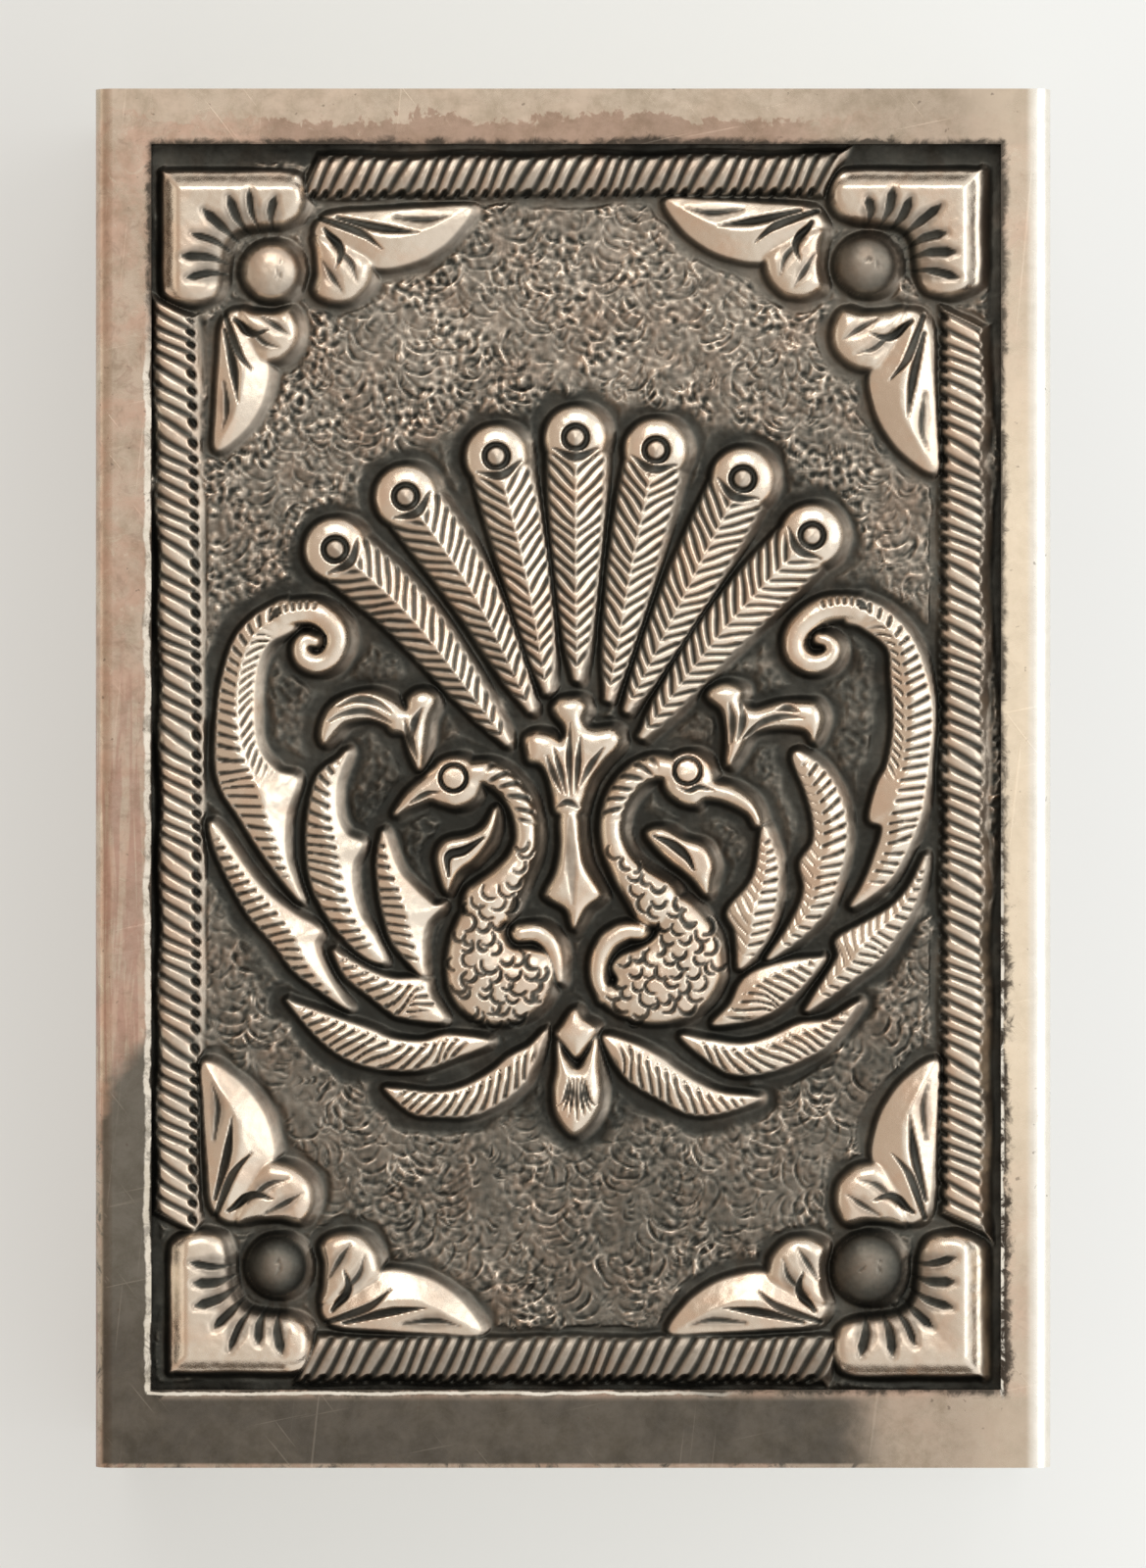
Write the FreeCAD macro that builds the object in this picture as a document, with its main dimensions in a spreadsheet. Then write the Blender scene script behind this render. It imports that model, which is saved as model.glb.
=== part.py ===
import FreeCAD
import Part
import Sketcher
import math
import os

from FreeCAD import Vector

# A matchbox holder in embossed silver sheet, with the matchbox and matches that it holds.
# Millimetres. X runs across the holder, Y along it, and Z from its plain back to its embossed front.

# Driving sizes
SIZES = {
    "matchbox_width": 36.0,
    "matchbox_length": 53.0,
    "matchbox_height": 14.0,
    "card_gauge": 0.5,
    "striker_gauge": 0.1,
    "striker_margin": 1.2,
    "tray_clearance": 0.2,
    "tray_setback": 0.2,
    "head_coat": 0.08,
    "head_length": 3.6,
    "head_bevel": 0.7,
    "head_grip": 2.4,
    "match_gap": 0.05,
    "match_end_room": 2.4,
    "match_layers": 2,
    "matches_per_layer": 12,
    "sheet_gauge": 0.6,
    "bend_radius": 0.1,
    "side_clearance": 0.4,
    "lift_clearance": 0.2,
    "end_cover": 0.9,
    "lip_height": 3.0,
    "seam_shy": 0.05,
    "rim_left": 2.25,
    "rim_right": 2.0,
    "rim_top": 2.2,
    "rim_bottom": 3.1,
    "panel_gauge": 0.5,
    "panel_side_gap": 0.3,
    "panel_end_gap": 1.2,
    "ornament_grid": 1.0,
    "relief_root": 0.2,
    "relief_edge": 0.3,
    "relief_slope": 0.45,
    "dome_rise": 0.85,
    "rope_inset": 1.15,
    "rope_half_width": 0.83,
    "rope_rise": 0.6,
    "rope_end_gap": 0.3,
    "shell_side": 5.5,
    "shell_inset": 0.7,
    "shell_rise": 0.8,
    "shell_bevel": 0.4,
    "boss_radius": 1.25,
    "boss_inset": 4.1,
    "boss_moat": 2.05,
}

# Levels and edges that follow from the driving sizes, each with its formula
LAYOUT = {
    "inner_half": "Sizes.matchbox_width / 2 + Sizes.side_clearance",
    "outer_half": "Sizes.matchbox_width / 2 + Sizes.side_clearance + Sizes.sheet_gauge",
    "holder_half": "Sizes.matchbox_length / 2 + Sizes.end_cover",
    "bend_outer": "Sizes.bend_radius + Sizes.sheet_gauge",
    "box_floor": "Sizes.sheet_gauge + Sizes.lift_clearance",
    "box_roof": "box_floor + Sizes.matchbox_height",
    "panel_back": "box_roof + Sizes.lift_clearance",
    "panel_ground": "panel_back + Sizes.panel_gauge",
    "front_level": "panel_ground + Sizes.sheet_gauge",
    "window_left": "Sizes.rim_left - outer_half",
    "window_right": "outer_half - Sizes.rim_right",
    "window_top": "holder_half - Sizes.rim_top",
    "window_bottom": "Sizes.rim_bottom - holder_half",
    "seam_leg": "Sizes.lift_clearance - Sizes.seam_shy",
    "tray_half_width": "Sizes.matchbox_width / 2 - Sizes.card_gauge - Sizes.tray_clearance",
    "tray_half_length": "Sizes.matchbox_length / 2 - Sizes.tray_setback",
    "tray_base": "box_floor + Sizes.card_gauge + Sizes.tray_clearance",
    "tray_floor": "tray_base + Sizes.card_gauge",
    "tray_rim": "box_roof - Sizes.card_gauge - Sizes.tray_clearance",
    "match_room": "2 * (tray_half_width - Sizes.card_gauge) - Sizes.match_gap",
    "match_pitch": "match_room / Sizes.matches_per_layer",
    "head_radius": "(match_pitch - Sizes.match_gap) / 2",
    "stick_side": "(head_radius - Sizes.head_coat) * sqrt(2)",
    "match_tail": "Sizes.match_end_room + Sizes.card_gauge - tray_half_length",
    "match_length": "2 * (tray_half_length - Sizes.card_gauge - Sizes.match_end_room)",
    "stick_length": "match_length - Sizes.head_length + Sizes.head_grip",
}

# The central ornament, in steps of the ornament grid from the middle of the front.
# Fan feathers: root, bend and eye
FAN_FEATHERS = [
    ((-2.65, 1.45), (-6.4, 6.3), (-9.5, 8.85)),
    ((-1.7, 2.75), (-4.0, 7.35), (-6.5, 11.05)),
    ((-1.05, 3.5), (-1.9, 8.15), (-3.1, 12.65)),
    ((0.15, 4.0), (0.1, 8.7), (0.15, 13.55)),
    ((1.4, 3.2), (2.35, 8.55), (3.4, 12.7)),
    ((2.15, 2.75), (4.6, 7.65), (6.7, 11.6)),
    ((2.75, 1.7), (6.05, 6.0), (9.5, 9.25)),
]
FAN_HALF_WIDTHS = (0.35, 0.95, 1.25)
FAN_EYE_RADIUS = 1.3

# Scrolls: from the eye of the curl, round it and down to the tip
LEFT_SCROLL = [
    (-10.45, 5.65), (-10.8, 5.5), (-10.85, 4.9), (-10.2, 4.45), (-9.5, 4.65), (-9.25, 5.4), (-9.7, 6.4),
    (-11.1, 6.7), (-12.25, 6.3), (-13.1, 5.4), (-13.6, 4.05), (-13.7, 2.5), (-13.5, 0.9), (-12.9, -0.8),
    (-12.1, -2.4), (-11.4, -3.8), (-10.8, -4.8),
]
RIGHT_SCROLL = [
    (9.9, 5.6), (10.3, 5.4), (10.4, 4.85), (9.85, 4.45), (9.1, 4.65), (8.85, 5.4), (9.3, 6.4),
    (10.35, 6.9), (11.5, 6.6), (12.5, 5.8), (13.25, 4.5), (13.5, 3.1), (13.5, 1.5), (13.15, -0.4),
    (12.6, -2.0), (11.95, -3.55), (11.1, -5.05),
]
SCROLL_HALF_WIDTHS = (
    0.15, 0.22, 0.3, 0.36, 0.4, 0.42, 0.42, 0.45, 0.55, 0.65, 0.75, 0.8, 0.85, 1.05, 0.95, 0.5, 0.06,
)

# Blades: the line along the middle, then the half widths along it
SIDE_FEATHERS = [
    ([(-9.15, 0.85), (-10.0, -0.8), (-9.8, -2.65), (-9.5, -4.3), (-8.65, -6.0), (-7.55, -7.2)],
     (0.1, 0.55, 0.85, 0.7, 0.5, 0.06)),
    ([(-7.55, -2.25), (-7.35, -3.65), (-6.8, -5.0), (-6.65, -6.25), (-6.05, -7.85)],
     (0.08, 0.35, 0.75, 0.6, 0.06)),
    ([(-14.45, -1.85), (-13.4, -3.75), (-12.15, -5.35), (-11.1, -6.75), (-10.1, -8.0), (-9.0, -9.1)],
     (0.1, 0.4, 0.6, 0.85, 0.5, 0.06)),
    ([(-9.35, -6.95), (-8.3, -8.1), (-7.05, -8.7), (-6.1, -8.95), (-5.25, -9.6)],
     (0.1, 0.4, 0.7, 0.65, 0.06)),
    ([(-11.2, -9.1), (-9.7, -10.1), (-7.95, -10.85), (-6.4, -11.0), (-4.95, -10.65), (-3.4, -10.45)],
     (0.1, 0.45, 0.62, 0.6, 0.5, 0.06)),
    ([(-7.4, -12.5), (-6.0, -12.95), (-4.45, -12.85), (-2.9, -12.1), (-1.8, -11.2), (-1.1, -10.1)],
     (0.1, 0.4, 0.55, 0.65, 0.5, 0.06)),
    ([(8.7, 0.95), (9.85, -0.8), (10.25, -2.45), (9.85, -4.2), (9.1, -5.7), (7.75, -7.2)],
     (0.1, 0.6, 0.65, 0.75, 0.6, 0.06)),
    ([(7.6, -2.1), (7.7, -3.55), (7.4, -5.1), (7.1, -6.35), (6.65, -7.5)],
     (0.08, 0.4, 0.75, 0.6, 0.06)),
    ([(13.85, -3.05), (13.1, -4.9), (11.95, -6.25), (10.95, -7.45), (10.05, -8.5), (9.35, -9.25)],
     (0.1, 0.45, 0.85, 0.7, 0.35, 0.06)),
    ([(9.6, -7.05), (8.7, -7.85), (7.6, -8.6), (6.7, -9.15), (5.65, -9.8)],
     (0.1, 0.5, 0.72, 0.55, 0.06)),
    ([(11.1, -9.05), (9.85, -10.1), (8.4, -10.8), (6.9, -11.15), (5.65, -10.95), (4.35, -10.35)],
     (0.1, 0.5, 0.6, 0.58, 0.45, 0.06)),
    ([(7.15, -12.85), (5.65, -12.9), (4.2, -12.45), (2.95, -11.75), (2.1, -11.1), (1.3, -10.35)],
     (0.15, 0.42, 0.58, 0.6, 0.45, 0.06)),
]
SPRIGS = [
    ([(-10.0, 1.8), (-9.35, 2.55), (-8.15, 2.85), (-7.1, 2.5), (-6.5, 1.95)], (0.2, 0.45, 0.55, 0.4, 0.2)),
    ([(-6.05, 3.05), (-6.25, 2.1), (-6.35, 1.25), (-6.15, 0.45)], (0.58, 0.42, 0.32, 0.06)),
    ([(9.7, 2.1), (8.6, 2.55), (7.4, 2.3), (6.7, 1.65), (6.2, 0.6)], (0.6, 0.48, 0.4, 0.3, 0.06)),
    ([(6.15, 3.35), (6.5, 2.3), (6.4, 1.3), (6.2, 0.6)], (0.7, 0.4, 0.32, 0.06)),
]
STEM = [
    ([(-0.05, 2.6), (-0.1, 1.0), (-0.2, -0.75)], (0.7, 0.75, 0.45)),
    ([(-0.2, -1.15), (-0.05, -2.95), (0.0, -4.4), (0.15, -5.75)], (0.42, 0.5, 1.05, 0.06)),
    ([(0.1, -9.35), (0.05, -10.45), (0.1, -11.35), (0.15, -12.4), (0.05, -14.2)],
     (0.15, 0.75, 0.65, 1.0, 0.06)),
]
STEM_LOBES = [(-0.15, 2.95), (-1.3, 1.2), (1.25, 1.55)]
STEM_LOBE_RADIUS = 0.6

# Birds: beak, neck, tail and wing blades
BIRD_BLADES = [
    ([(-4.9, -0.2), (-6.2, -0.75), (-7.05, -1.35)], (0.7, 0.35, 0.08)),
    ([(-4.1, 0.05), (-2.7, -0.25), (-1.85, -1.3), (-1.7, -2.65), (-2.25, -4.0), (-2.9, -5.6)],
     (0.45, 0.5, 0.5, 0.55, 0.75, 1.3)),
    ([(-2.25, -6.0), (-1.4, -6.25), (-0.9, -6.95), (-0.6, -8.0)], (0.35, 0.32, 0.25, 0.08)),
    ([(-3.15, -1.4), (-3.7, -2.5), (-4.7, -3.2), (-4.95, -4.35)], (0.08, 0.5, 0.58, 0.08)),
    ([(4.9, 0.0), (6.5, -0.8), (7.35, -1.75)], (0.7, 0.4, 0.08)),
    ([(4.1, 0.35), (2.65, -0.1), (1.75, -1.3), (1.65, -2.65), (2.3, -4.0), (3.15, -5.6)],
     (0.45, 0.5, 0.5, 0.55, 0.75, 1.3)),
    ([(2.55, -5.9), (1.6, -6.15), (0.9, -6.95), (0.7, -8.1)], (0.35, 0.32, 0.25, 0.08)),
    ([(3.0, -2.15), (4.2, -2.7), (5.05, -3.45), (5.45, -4.35)], (0.08, 0.45, 0.5, 0.08)),
]
BIRD_HEADS = [(-4.65, -0.05), (4.6, 0.15)]
BIRD_HEAD_RADIUS = 1.0
BIRD_BODIES = [(-2.95, -7.7), (3.4, -7.65)]
BIRD_BODY_RADIUS = 2.05

# Corner leaf and its inner lobe, from the boss: first away from the corner, then back towards the edge
CORNER_BLADES = [
    ([(2.2, -1.55), (4.3, -1.4), (6.1, -1.6), (7.9, -2.5)], (0.7, 0.8, 0.55, 0.06)),
    ([(1.7, -1.4), (2.9, -0.3), (2.75, 0.95), (1.75, 1.3)], (0.35, 0.7, 0.6, 0.25)),
]
TOUCH = 1e-6
HEAD_SIDES = 12
DOME_SIDES = 16
DOME_STEPS = 3

doc = FreeCAD.newDocument("MatchboxHolder")


def add_sheet(name, cells):
    """A spreadsheet with a word and an aliased value in each row."""
    sheet = doc.addObject("Spreadsheet::Sheet", name)
    for row, (alias, value) in enumerate(cells.items(), start=1):
        sheet.set(f"A{row}", alias)
        sheet.set(f"B{row}", value)
        sheet.setAlias(f"B{row}", alias)
    doc.recompute()
    return sheet


sizes = add_sheet("Sizes", {alias: str(value) for alias, value in SIZES.items()})
layout = add_sheet("Layout", {alias: f"={formula}" for alias, formula in LAYOUT.items()})
pieces = []


def new_piece(label):
    body = doc.addObject("PartDesign::Body", label)
    body.Label = label
    pieces.append(body)
    return body


def origin_plane(body, role):
    return next(feature for feature in body.Origin.OriginFeatures if feature.Role == role)


def add_sketch(body, name, plane, outlines, level="0"):
    """Closed outlines on one of the body's planes, every corner tied to its two formulas."""
    sketch = body.newObject("Sketcher::SketchObject", name)
    sketch.AttachmentSupport = [(origin_plane(body, plane), "")]
    sketch.MapMode = "FlatFace"
    sketch.setExpression("AttachmentOffset.Base.z", level)
    for outline in outlines:
        first = sketch.GeometryCount
        count = len(outline)
        turn = 2 * math.pi / count
        loose = [Vector(math.cos(turn * i), math.sin(turn * i), 0) for i in range(count)]
        for i in range(count):
            sketch.addGeometry(Part.LineSegment(loose[i], loose[(i + 1) % count]))
        for i, corner in enumerate(outline):
            following = first + (i + 1) % count
            sketch.addConstraint(Sketcher.Constraint("Coincident", first + i, 2, following, 1))
            for direction, formula in zip(("DistanceX", "DistanceY"), corner):
                tie = Sketcher.Constraint(direction, -1, 1, first + i, 1, 1.0)
                index = sketch.addConstraint(tie)
                sketch.setExpression(f"Constraints[{index}]", formula)
    return sketch


def rectangle(left, right, low, high):
    return [(left, low), (right, low), (right, high), (left, high)]


def add_pad(body, sketch, length, side="Symmetric", reverse=False):
    pad = body.newObject("PartDesign::Pad", sketch.Name + "Pad")
    pad.Profile = sketch
    pad.SideType = side
    pad.Reversed = reverse
    pad.setExpression("Length", length)
    return pad


def add_pocket(body, sketch, depth, side="One side", reverse=False):
    pocket = body.newObject("PartDesign::Pocket", sketch.Name + "Pocket")
    pocket.Profile = sketch
    pocket.SideType = side
    pocket.Reversed = reverse
    pocket.setExpression("Length", depth)
    return pocket


def edges_where(feature, wanted):
    """The names of the feature's edges whose end points all pass the test."""
    doc.recompute()
    numbered = enumerate(feature.Shape.Edges, start=1)
    return [f"Edge{number}" for number, edge in numbered if all(wanted(v.Point) for v in edge.Vertexes)]


def add_bend(body, feature, spots, radius):
    """Round the folds along Y whose X and Z are among the spots."""
    names = []
    for x, z in spots:
        names += edges_where(feature, lambda point: abs(point.x - x) + abs(point.z - z) < TOUCH)
    bend = body.newObject("PartDesign::Fillet", body.Label + "Bend")
    bend.Base = (feature, names)
    bend.setExpression("Radius", radius)
    return bend


def make_front_shell():
    """Front plate with its window, a full-height spine on the left and a short lip on the right."""
    body = new_piece("front_shell")
    lip_end = "Layout.front_level - Sizes.lip_height"
    fold = [
        ("-Layout.outer_half", "0"),
        ("-Layout.inner_half", "0"),
        ("-Layout.inner_half", "Layout.panel_ground"),
        ("Layout.inner_half", "Layout.panel_ground"),
        ("Layout.inner_half", lip_end),
        ("Layout.outer_half", lip_end),
        ("Layout.outer_half", "Layout.front_level"),
        ("-Layout.outer_half", "Layout.front_level"),
    ]
    sheet = add_pad(body, add_sketch(body, "FrontFold", "XZ_Plane", [fold]), "2 * Layout.holder_half")
    outer, inner = layout.outer_half, layout.inner_half
    front = layout.front_level
    outside = add_bend(body, sheet, [(-outer, front), (outer, front)], "Layout.bend_outer")
    ground = layout.panel_ground
    add_bend(body, outside, [(-inner, ground), (inner, ground)], "Sizes.bend_radius")
    sides = ("Layout.window_left", "Layout.window_right")
    ends = ("Layout.window_bottom", "Layout.window_top")
    window = add_sketch(body, "FrontWindow", "XY_Plane", [rectangle(*sides, *ends)])
    add_pocket(body, window, "3 * Layout.front_level", side="Symmetric")


def make_back_shell():
    """Plain back plate that butts on the spine, with a short lip on the right."""
    body = new_piece("back_shell")
    lip_end = "Sizes.sheet_gauge + Sizes.lip_height"
    fold = [
        ("-Layout.inner_half", "0"),
        ("Layout.outer_half", "0"),
        ("Layout.outer_half", lip_end),
        ("Layout.inner_half", lip_end),
        ("Layout.inner_half", "Sizes.sheet_gauge"),
        ("-Layout.inner_half", "Sizes.sheet_gauge"),
    ]
    sheet = add_pad(body, add_sketch(body, "BackFold", "XZ_Plane", [fold]), "2 * Layout.holder_half")
    outside = add_bend(body, sheet, [(layout.outer_half, 0)], "Layout.bend_outer")
    add_bend(body, outside, [(layout.inner_half, sizes.sheet_gauge)], "Sizes.bend_radius")


def make_solder_seam():
    """The run of solder in the corner between the spine and the back plate."""
    body = new_piece("solder_seam")
    bead = [
        ("-Layout.inner_half", "Sizes.sheet_gauge"),
        ("Layout.seam_leg - Layout.inner_half", "Sizes.sheet_gauge"),
        ("-Layout.inner_half", "Sizes.sheet_gauge + Layout.seam_leg"),
    ]
    add_pad(body, add_sketch(body, "SeamBead", "XZ_Plane", [bead]), "2 * Layout.holder_half")


def make_matchbox_sleeve():
    """The card tube of the matchbox, open at both ends."""
    body = new_piece("matchbox_sleeve")
    half = "Sizes.matchbox_width / 2"
    inner = "(Sizes.matchbox_width / 2 - Sizes.card_gauge)"
    low = "Layout.box_floor + Sizes.card_gauge"
    high = "Layout.box_roof - Sizes.card_gauge"
    outside = rectangle("-" + half, half, "Layout.box_floor", "Layout.box_roof")
    inside = rectangle("-" + inner, inner, low, high)
    add_pad(body, add_sketch(body, "SleeveTube", "XZ_Plane", [outside, inside]), "Sizes.matchbox_length")


def make_striker(label, side):
    """A strip of striking surface on one side of the sleeve."""
    body = new_piece(label)
    near = f"{side} * Sizes.matchbox_width / 2"
    far = f"{side} * (Sizes.matchbox_width / 2 + Sizes.striker_gauge)"
    low = "Layout.box_floor + Sizes.striker_margin"
    high = "Layout.box_roof - Sizes.striker_margin"
    strip = add_sketch(body, label + "Strip", "XZ_Plane", [rectangle(near, far, low, high)])
    add_pad(body, strip, "Sizes.matchbox_length")


def make_tray():
    """The card drawer, open at the top."""
    body = new_piece("tray")
    wide, long = "Layout.tray_half_width", "Layout.tray_half_length"
    block = add_sketch(
        body, "TrayBlock", "XY_Plane", [rectangle("-" + wide, wide, "-" + long, long)], "Layout.tray_base")
    add_pad(body, block, "Layout.tray_rim - Layout.tray_base", side="One side")
    clear_wide = "(Layout.tray_half_width - Sizes.card_gauge)"
    clear_long = "(Layout.tray_half_length - Sizes.card_gauge)"
    hollow = rectangle("-" + clear_wide, clear_wide, "-" + clear_long, clear_long)
    well = add_sketch(body, "TrayWell", "XY_Plane", [hollow], "Layout.tray_floor")
    add_pocket(body, well, "Layout.tray_rim - Layout.tray_floor", reverse=True)


def place(body, x, y, z):
    for axis, formula in zip("xyz", (x, y, z)):
        body.setExpression(f"Placement.Base.{axis}", formula)


def make_match(number, column, columns, layer):
    """One match: a square stick whose end sits in a dipped head."""
    across = f"{column - (columns - 1) / 2} * Layout.match_pitch"
    up = f"Layout.tray_floor + Layout.head_radius + Sizes.match_gap + {layer} * Layout.match_pitch"
    half = "Layout.stick_side / 2"
    square = rectangle("-" + half, half, "-" + half, half)

    stick = new_piece(f"match_stick_{number:02d}")
    add_pad(stick, add_sketch(stick, "Stick", "XZ_Plane", [square]), "Layout.stick_length", "One side", True)
    place(stick, across, "Layout.match_tail", up)

    head = new_piece(f"match_head_{number:02d}")
    turns = [(side + 0.5) * 360 / HEAD_SIDES for side in range(HEAD_SIDES)]
    around = [(f"Layout.head_radius * cos({t} deg)", f"Layout.head_radius * sin({t} deg)") for t in turns]
    dip = add_pad(head, add_sketch(head, "Dip", "XZ_Plane", [around]), "Sizes.head_length", "One side", True)
    nose = head.newObject("PartDesign::Chamfer", "Nose")
    nose.Base = (dip, edges_where(dip, lambda point: abs(point.y - sizes.head_length) < TOUCH))
    nose.setExpression("Size", "Sizes.head_bevel")
    add_pocket(head, add_sketch(head, "Socket", "XZ_Plane", [square]), "Sizes.head_grip")
    place(head, across, "Layout.match_tail + Layout.match_length - Sizes.head_length", up)


def make_matches():
    """Layers of matches side by side, as thick as the tray is wide enough for."""
    columns = int(sizes.matches_per_layer)
    for layer in range(int(sizes.match_layers)):
        for column in range(columns):
            make_match(layer * columns + column + 1, column, columns, layer)


def spot(x, y):
    """A place on the ground of the panel, from steps of the ornament grid."""
    return Vector(x * sizes.ornament_grid, y * sizes.ornament_grid, layout.panel_ground)


def blade(points, half_widths, stations_per_span=2):
    """A raised leaf with a ridge along its middle, lofted through sections across the line."""
    line = Part.BSplineCurve()
    line.interpolate(Points=points, Parameters=[float(i) for i in range(len(points))])
    sections = []
    last = len(points) - 1
    for step in range(last * stations_per_span + 1):
        along = step / stations_per_span
        span = min(int(along), last - 1)
        share = along - span
        half = half_widths[span] * (1 - share) + half_widths[span + 1] * share
        half *= sizes.ornament_grid
        middle = line.value(along)
        forward = line.tangent(along)[0]
        across = Vector(-forward.y, forward.x, 0) * half
        root = Vector(0, 0, -sizes.relief_root)
        edge = Vector(0, 0, sizes.relief_edge)
        ridge = Vector(0, 0, sizes.relief_edge + half * sizes.relief_slope)
        left, right = middle - across, middle + across
        outline = [left + root, left + edge, middle + ridge, right + edge, right + root]
        sections.append(Part.makePolygon(outline + outline[:1]))
    return Part.makeLoft(sections, True, True)


def ring(middle, radius, height):
    """A level polygon round a place on the ground."""
    turn = 2 * math.pi / DOME_SIDES
    corners = [Vector(math.cos(turn * i), math.sin(turn * i), 0) * radius for i in range(DOME_SIDES)]
    lifted = [middle + corner + Vector(0, 0, height) for corner in corners]
    return Part.makePolygon(lifted + lifted[:1])


def dome(middle, radius, rise):
    """A cap of a ball that stands on the ground and is rooted in the panel."""
    ball = (radius * radius + rise * rise) / (2 * rise)
    spread = math.acos((ball - rise) / ball)
    levels = [ring(middle, radius, -sizes.relief_root)]
    for step in range(DOME_STEPS):
        angle = spread * (1 - step / DOME_STEPS)
        levels.append(ring(middle, ball * math.sin(angle), ball * math.cos(angle) - ball + rise))
    levels.append(Part.Vertex(middle + Vector(0, 0, rise)))
    return Part.makeLoft(levels, True, True)


def rope(start, end):
    """A round-topped bar from one place on the ground to another."""
    forward = end - start
    forward.normalize()
    across = Vector(-forward.y, forward.x, 0) * sizes.rope_half_width
    root = Vector(0, 0, -sizes.relief_root)
    left, right = start - across, start + across
    crown = start + Vector(0, 0, sizes.rope_rise)
    edges = [
        Part.LineSegment(left + root, left).toShape(),
        Part.Arc(left, crown, right).toShape(),
        Part.LineSegment(right, right + root).toShape(),
        Part.LineSegment(right + root, left + root).toShape(),
    ]
    return Part.Face(Part.Wire(edges)).extrude(end - start)


def fan_and_stem():
    forms = []
    for feather in FAN_FEATHERS:
        line = [spot(*point) for point in feather]
        forms.append(blade(line, FAN_HALF_WIDTHS))
        forms.append(dome(line[-1], FAN_EYE_RADIUS * sizes.ornament_grid, sizes.dome_rise))
    for scroll in (LEFT_SCROLL, RIGHT_SCROLL):
        forms.append(blade([spot(*point) for point in scroll], SCROLL_HALF_WIDTHS, stations_per_span=1))
    for points, half_widths in SIDE_FEATHERS + SPRIGS + STEM:
        forms.append(blade([spot(*point) for point in points], half_widths))
    for lobe in STEM_LOBES:
        forms.append(dome(spot(*lobe), STEM_LOBE_RADIUS * sizes.ornament_grid, sizes.dome_rise))
    return forms


def birds():
    forms = [blade([spot(*point) for point in points], half_widths) for points, half_widths in BIRD_BLADES]
    for head in BIRD_HEADS:
        forms.append(dome(spot(*head), BIRD_HEAD_RADIUS * sizes.ornament_grid, sizes.dome_rise))
    for breast in BIRD_BODIES:
        forms.append(dome(spot(*breast), BIRD_BODY_RADIUS * sizes.ornament_grid, sizes.dome_rise))
    return forms


def corner_flower(corner, to_middle):
    """Quarter shell, boss and two leaves in one corner of the window."""
    right, up = to_middle
    boss = corner + Vector(right, up, 0) * (sizes.shell_inset + sizes.boss_inset)
    side, rise, root = sizes.shell_side, sizes.shell_rise, sizes.relief_root
    tile = Part.makeBox(side, side, rise + root)
    top_edges = [edge for edge in tile.Edges if all(v.Point.z > rise for v in edge.Vertexes)]
    tile = tile.makeChamfer(sizes.shell_bevel, top_edges)
    near = corner + Vector(right, up, 0) * (sizes.shell_inset + side / 2)
    tile.translate(near - Vector(side / 2, side / 2, root))
    moat = Part.makeCylinder(sizes.boss_moat, 2 * (rise + root), boss - Vector(0, 0, root))
    forms = [tile.cut(moat), dome(boss, sizes.boss_radius, sizes.dome_rise)]
    grid = sizes.ornament_grid
    for points, half_widths in CORNER_BLADES:
        along_x = [boss + Vector(right * out * grid, up * back * grid, 0) for out, back in points]
        along_y = [boss + Vector(right * back * grid, up * out * grid, 0) for out, back in points]
        forms += [blade(along_x, half_widths), blade(along_y, half_widths)]
    return forms


def border():
    """The four corner flowers and the ropes that run between them."""
    left, right = layout.window_left, layout.window_right
    low, high = layout.window_bottom, layout.window_top
    ground = layout.panel_ground
    forms = []
    for x, to_right in ((left, 1), (right, -1)):
        for y, to_top in ((low, 1), (high, -1)):
            forms += corner_flower(Vector(x, y, ground), (to_right, to_top))
    inset = sizes.rope_inset
    reach = sizes.shell_inset + sizes.shell_side + sizes.rope_end_gap
    for y in (low + inset, high - inset):
        forms.append(rope(Vector(left + reach, y, ground), Vector(right - reach, y, ground)))
    for x in (left + inset, right - inset):
        forms.append(rope(Vector(x, low + reach, ground), Vector(x, high - reach, ground)))
    return forms


def make_embossed_panel():
    """The chased panel behind the window: a plate with all its relief raised from it."""
    wide = layout.inner_half - sizes.panel_side_gap
    long = layout.holder_half - sizes.panel_end_gap
    corner = Vector(-wide, -long, layout.panel_back)
    plate = Part.makeBox(2 * wide, 2 * long, sizes.panel_gauge, corner)
    panel = doc.addObject("Part::Feature", "embossed_panel")
    panel.Shape = plate.multiFuse(fan_and_stem() + birds() + border()).removeSplitter()
    pieces.append(panel)


def check_and_write():
    doc.recompute()
    for item in doc.Objects:
        if "Invalid" in item.State or "Error" in item.State:
            raise RuntimeError(f"{item.Label} did not build: {item.State}")
    os.makedirs("parts", exist_ok=True)
    for piece in pieces:
        shape = piece.Shape
        if shape.isNull() or not shape.isValid() or len(shape.Solids) != 1:
            raise RuntimeError(f"{piece.Label} is not one sound solid")
    for piece in pieces:
        piece.Shape.exportStep(f"parts/{piece.Label}.step")
        box = piece.Shape.BoundBox
        print(f"{piece.Label}: {box.XLength:.2f} x {box.YLength:.2f} x {box.ZLength:.2f} mm")


make_front_shell()
make_embossed_panel()
make_back_shell()
make_solder_seam()
make_matchbox_sleeve()
make_striker("striker_left", -1)
make_striker("striker_right", 1)
make_tray()
make_matches()
check_and_write()
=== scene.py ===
import math

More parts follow.
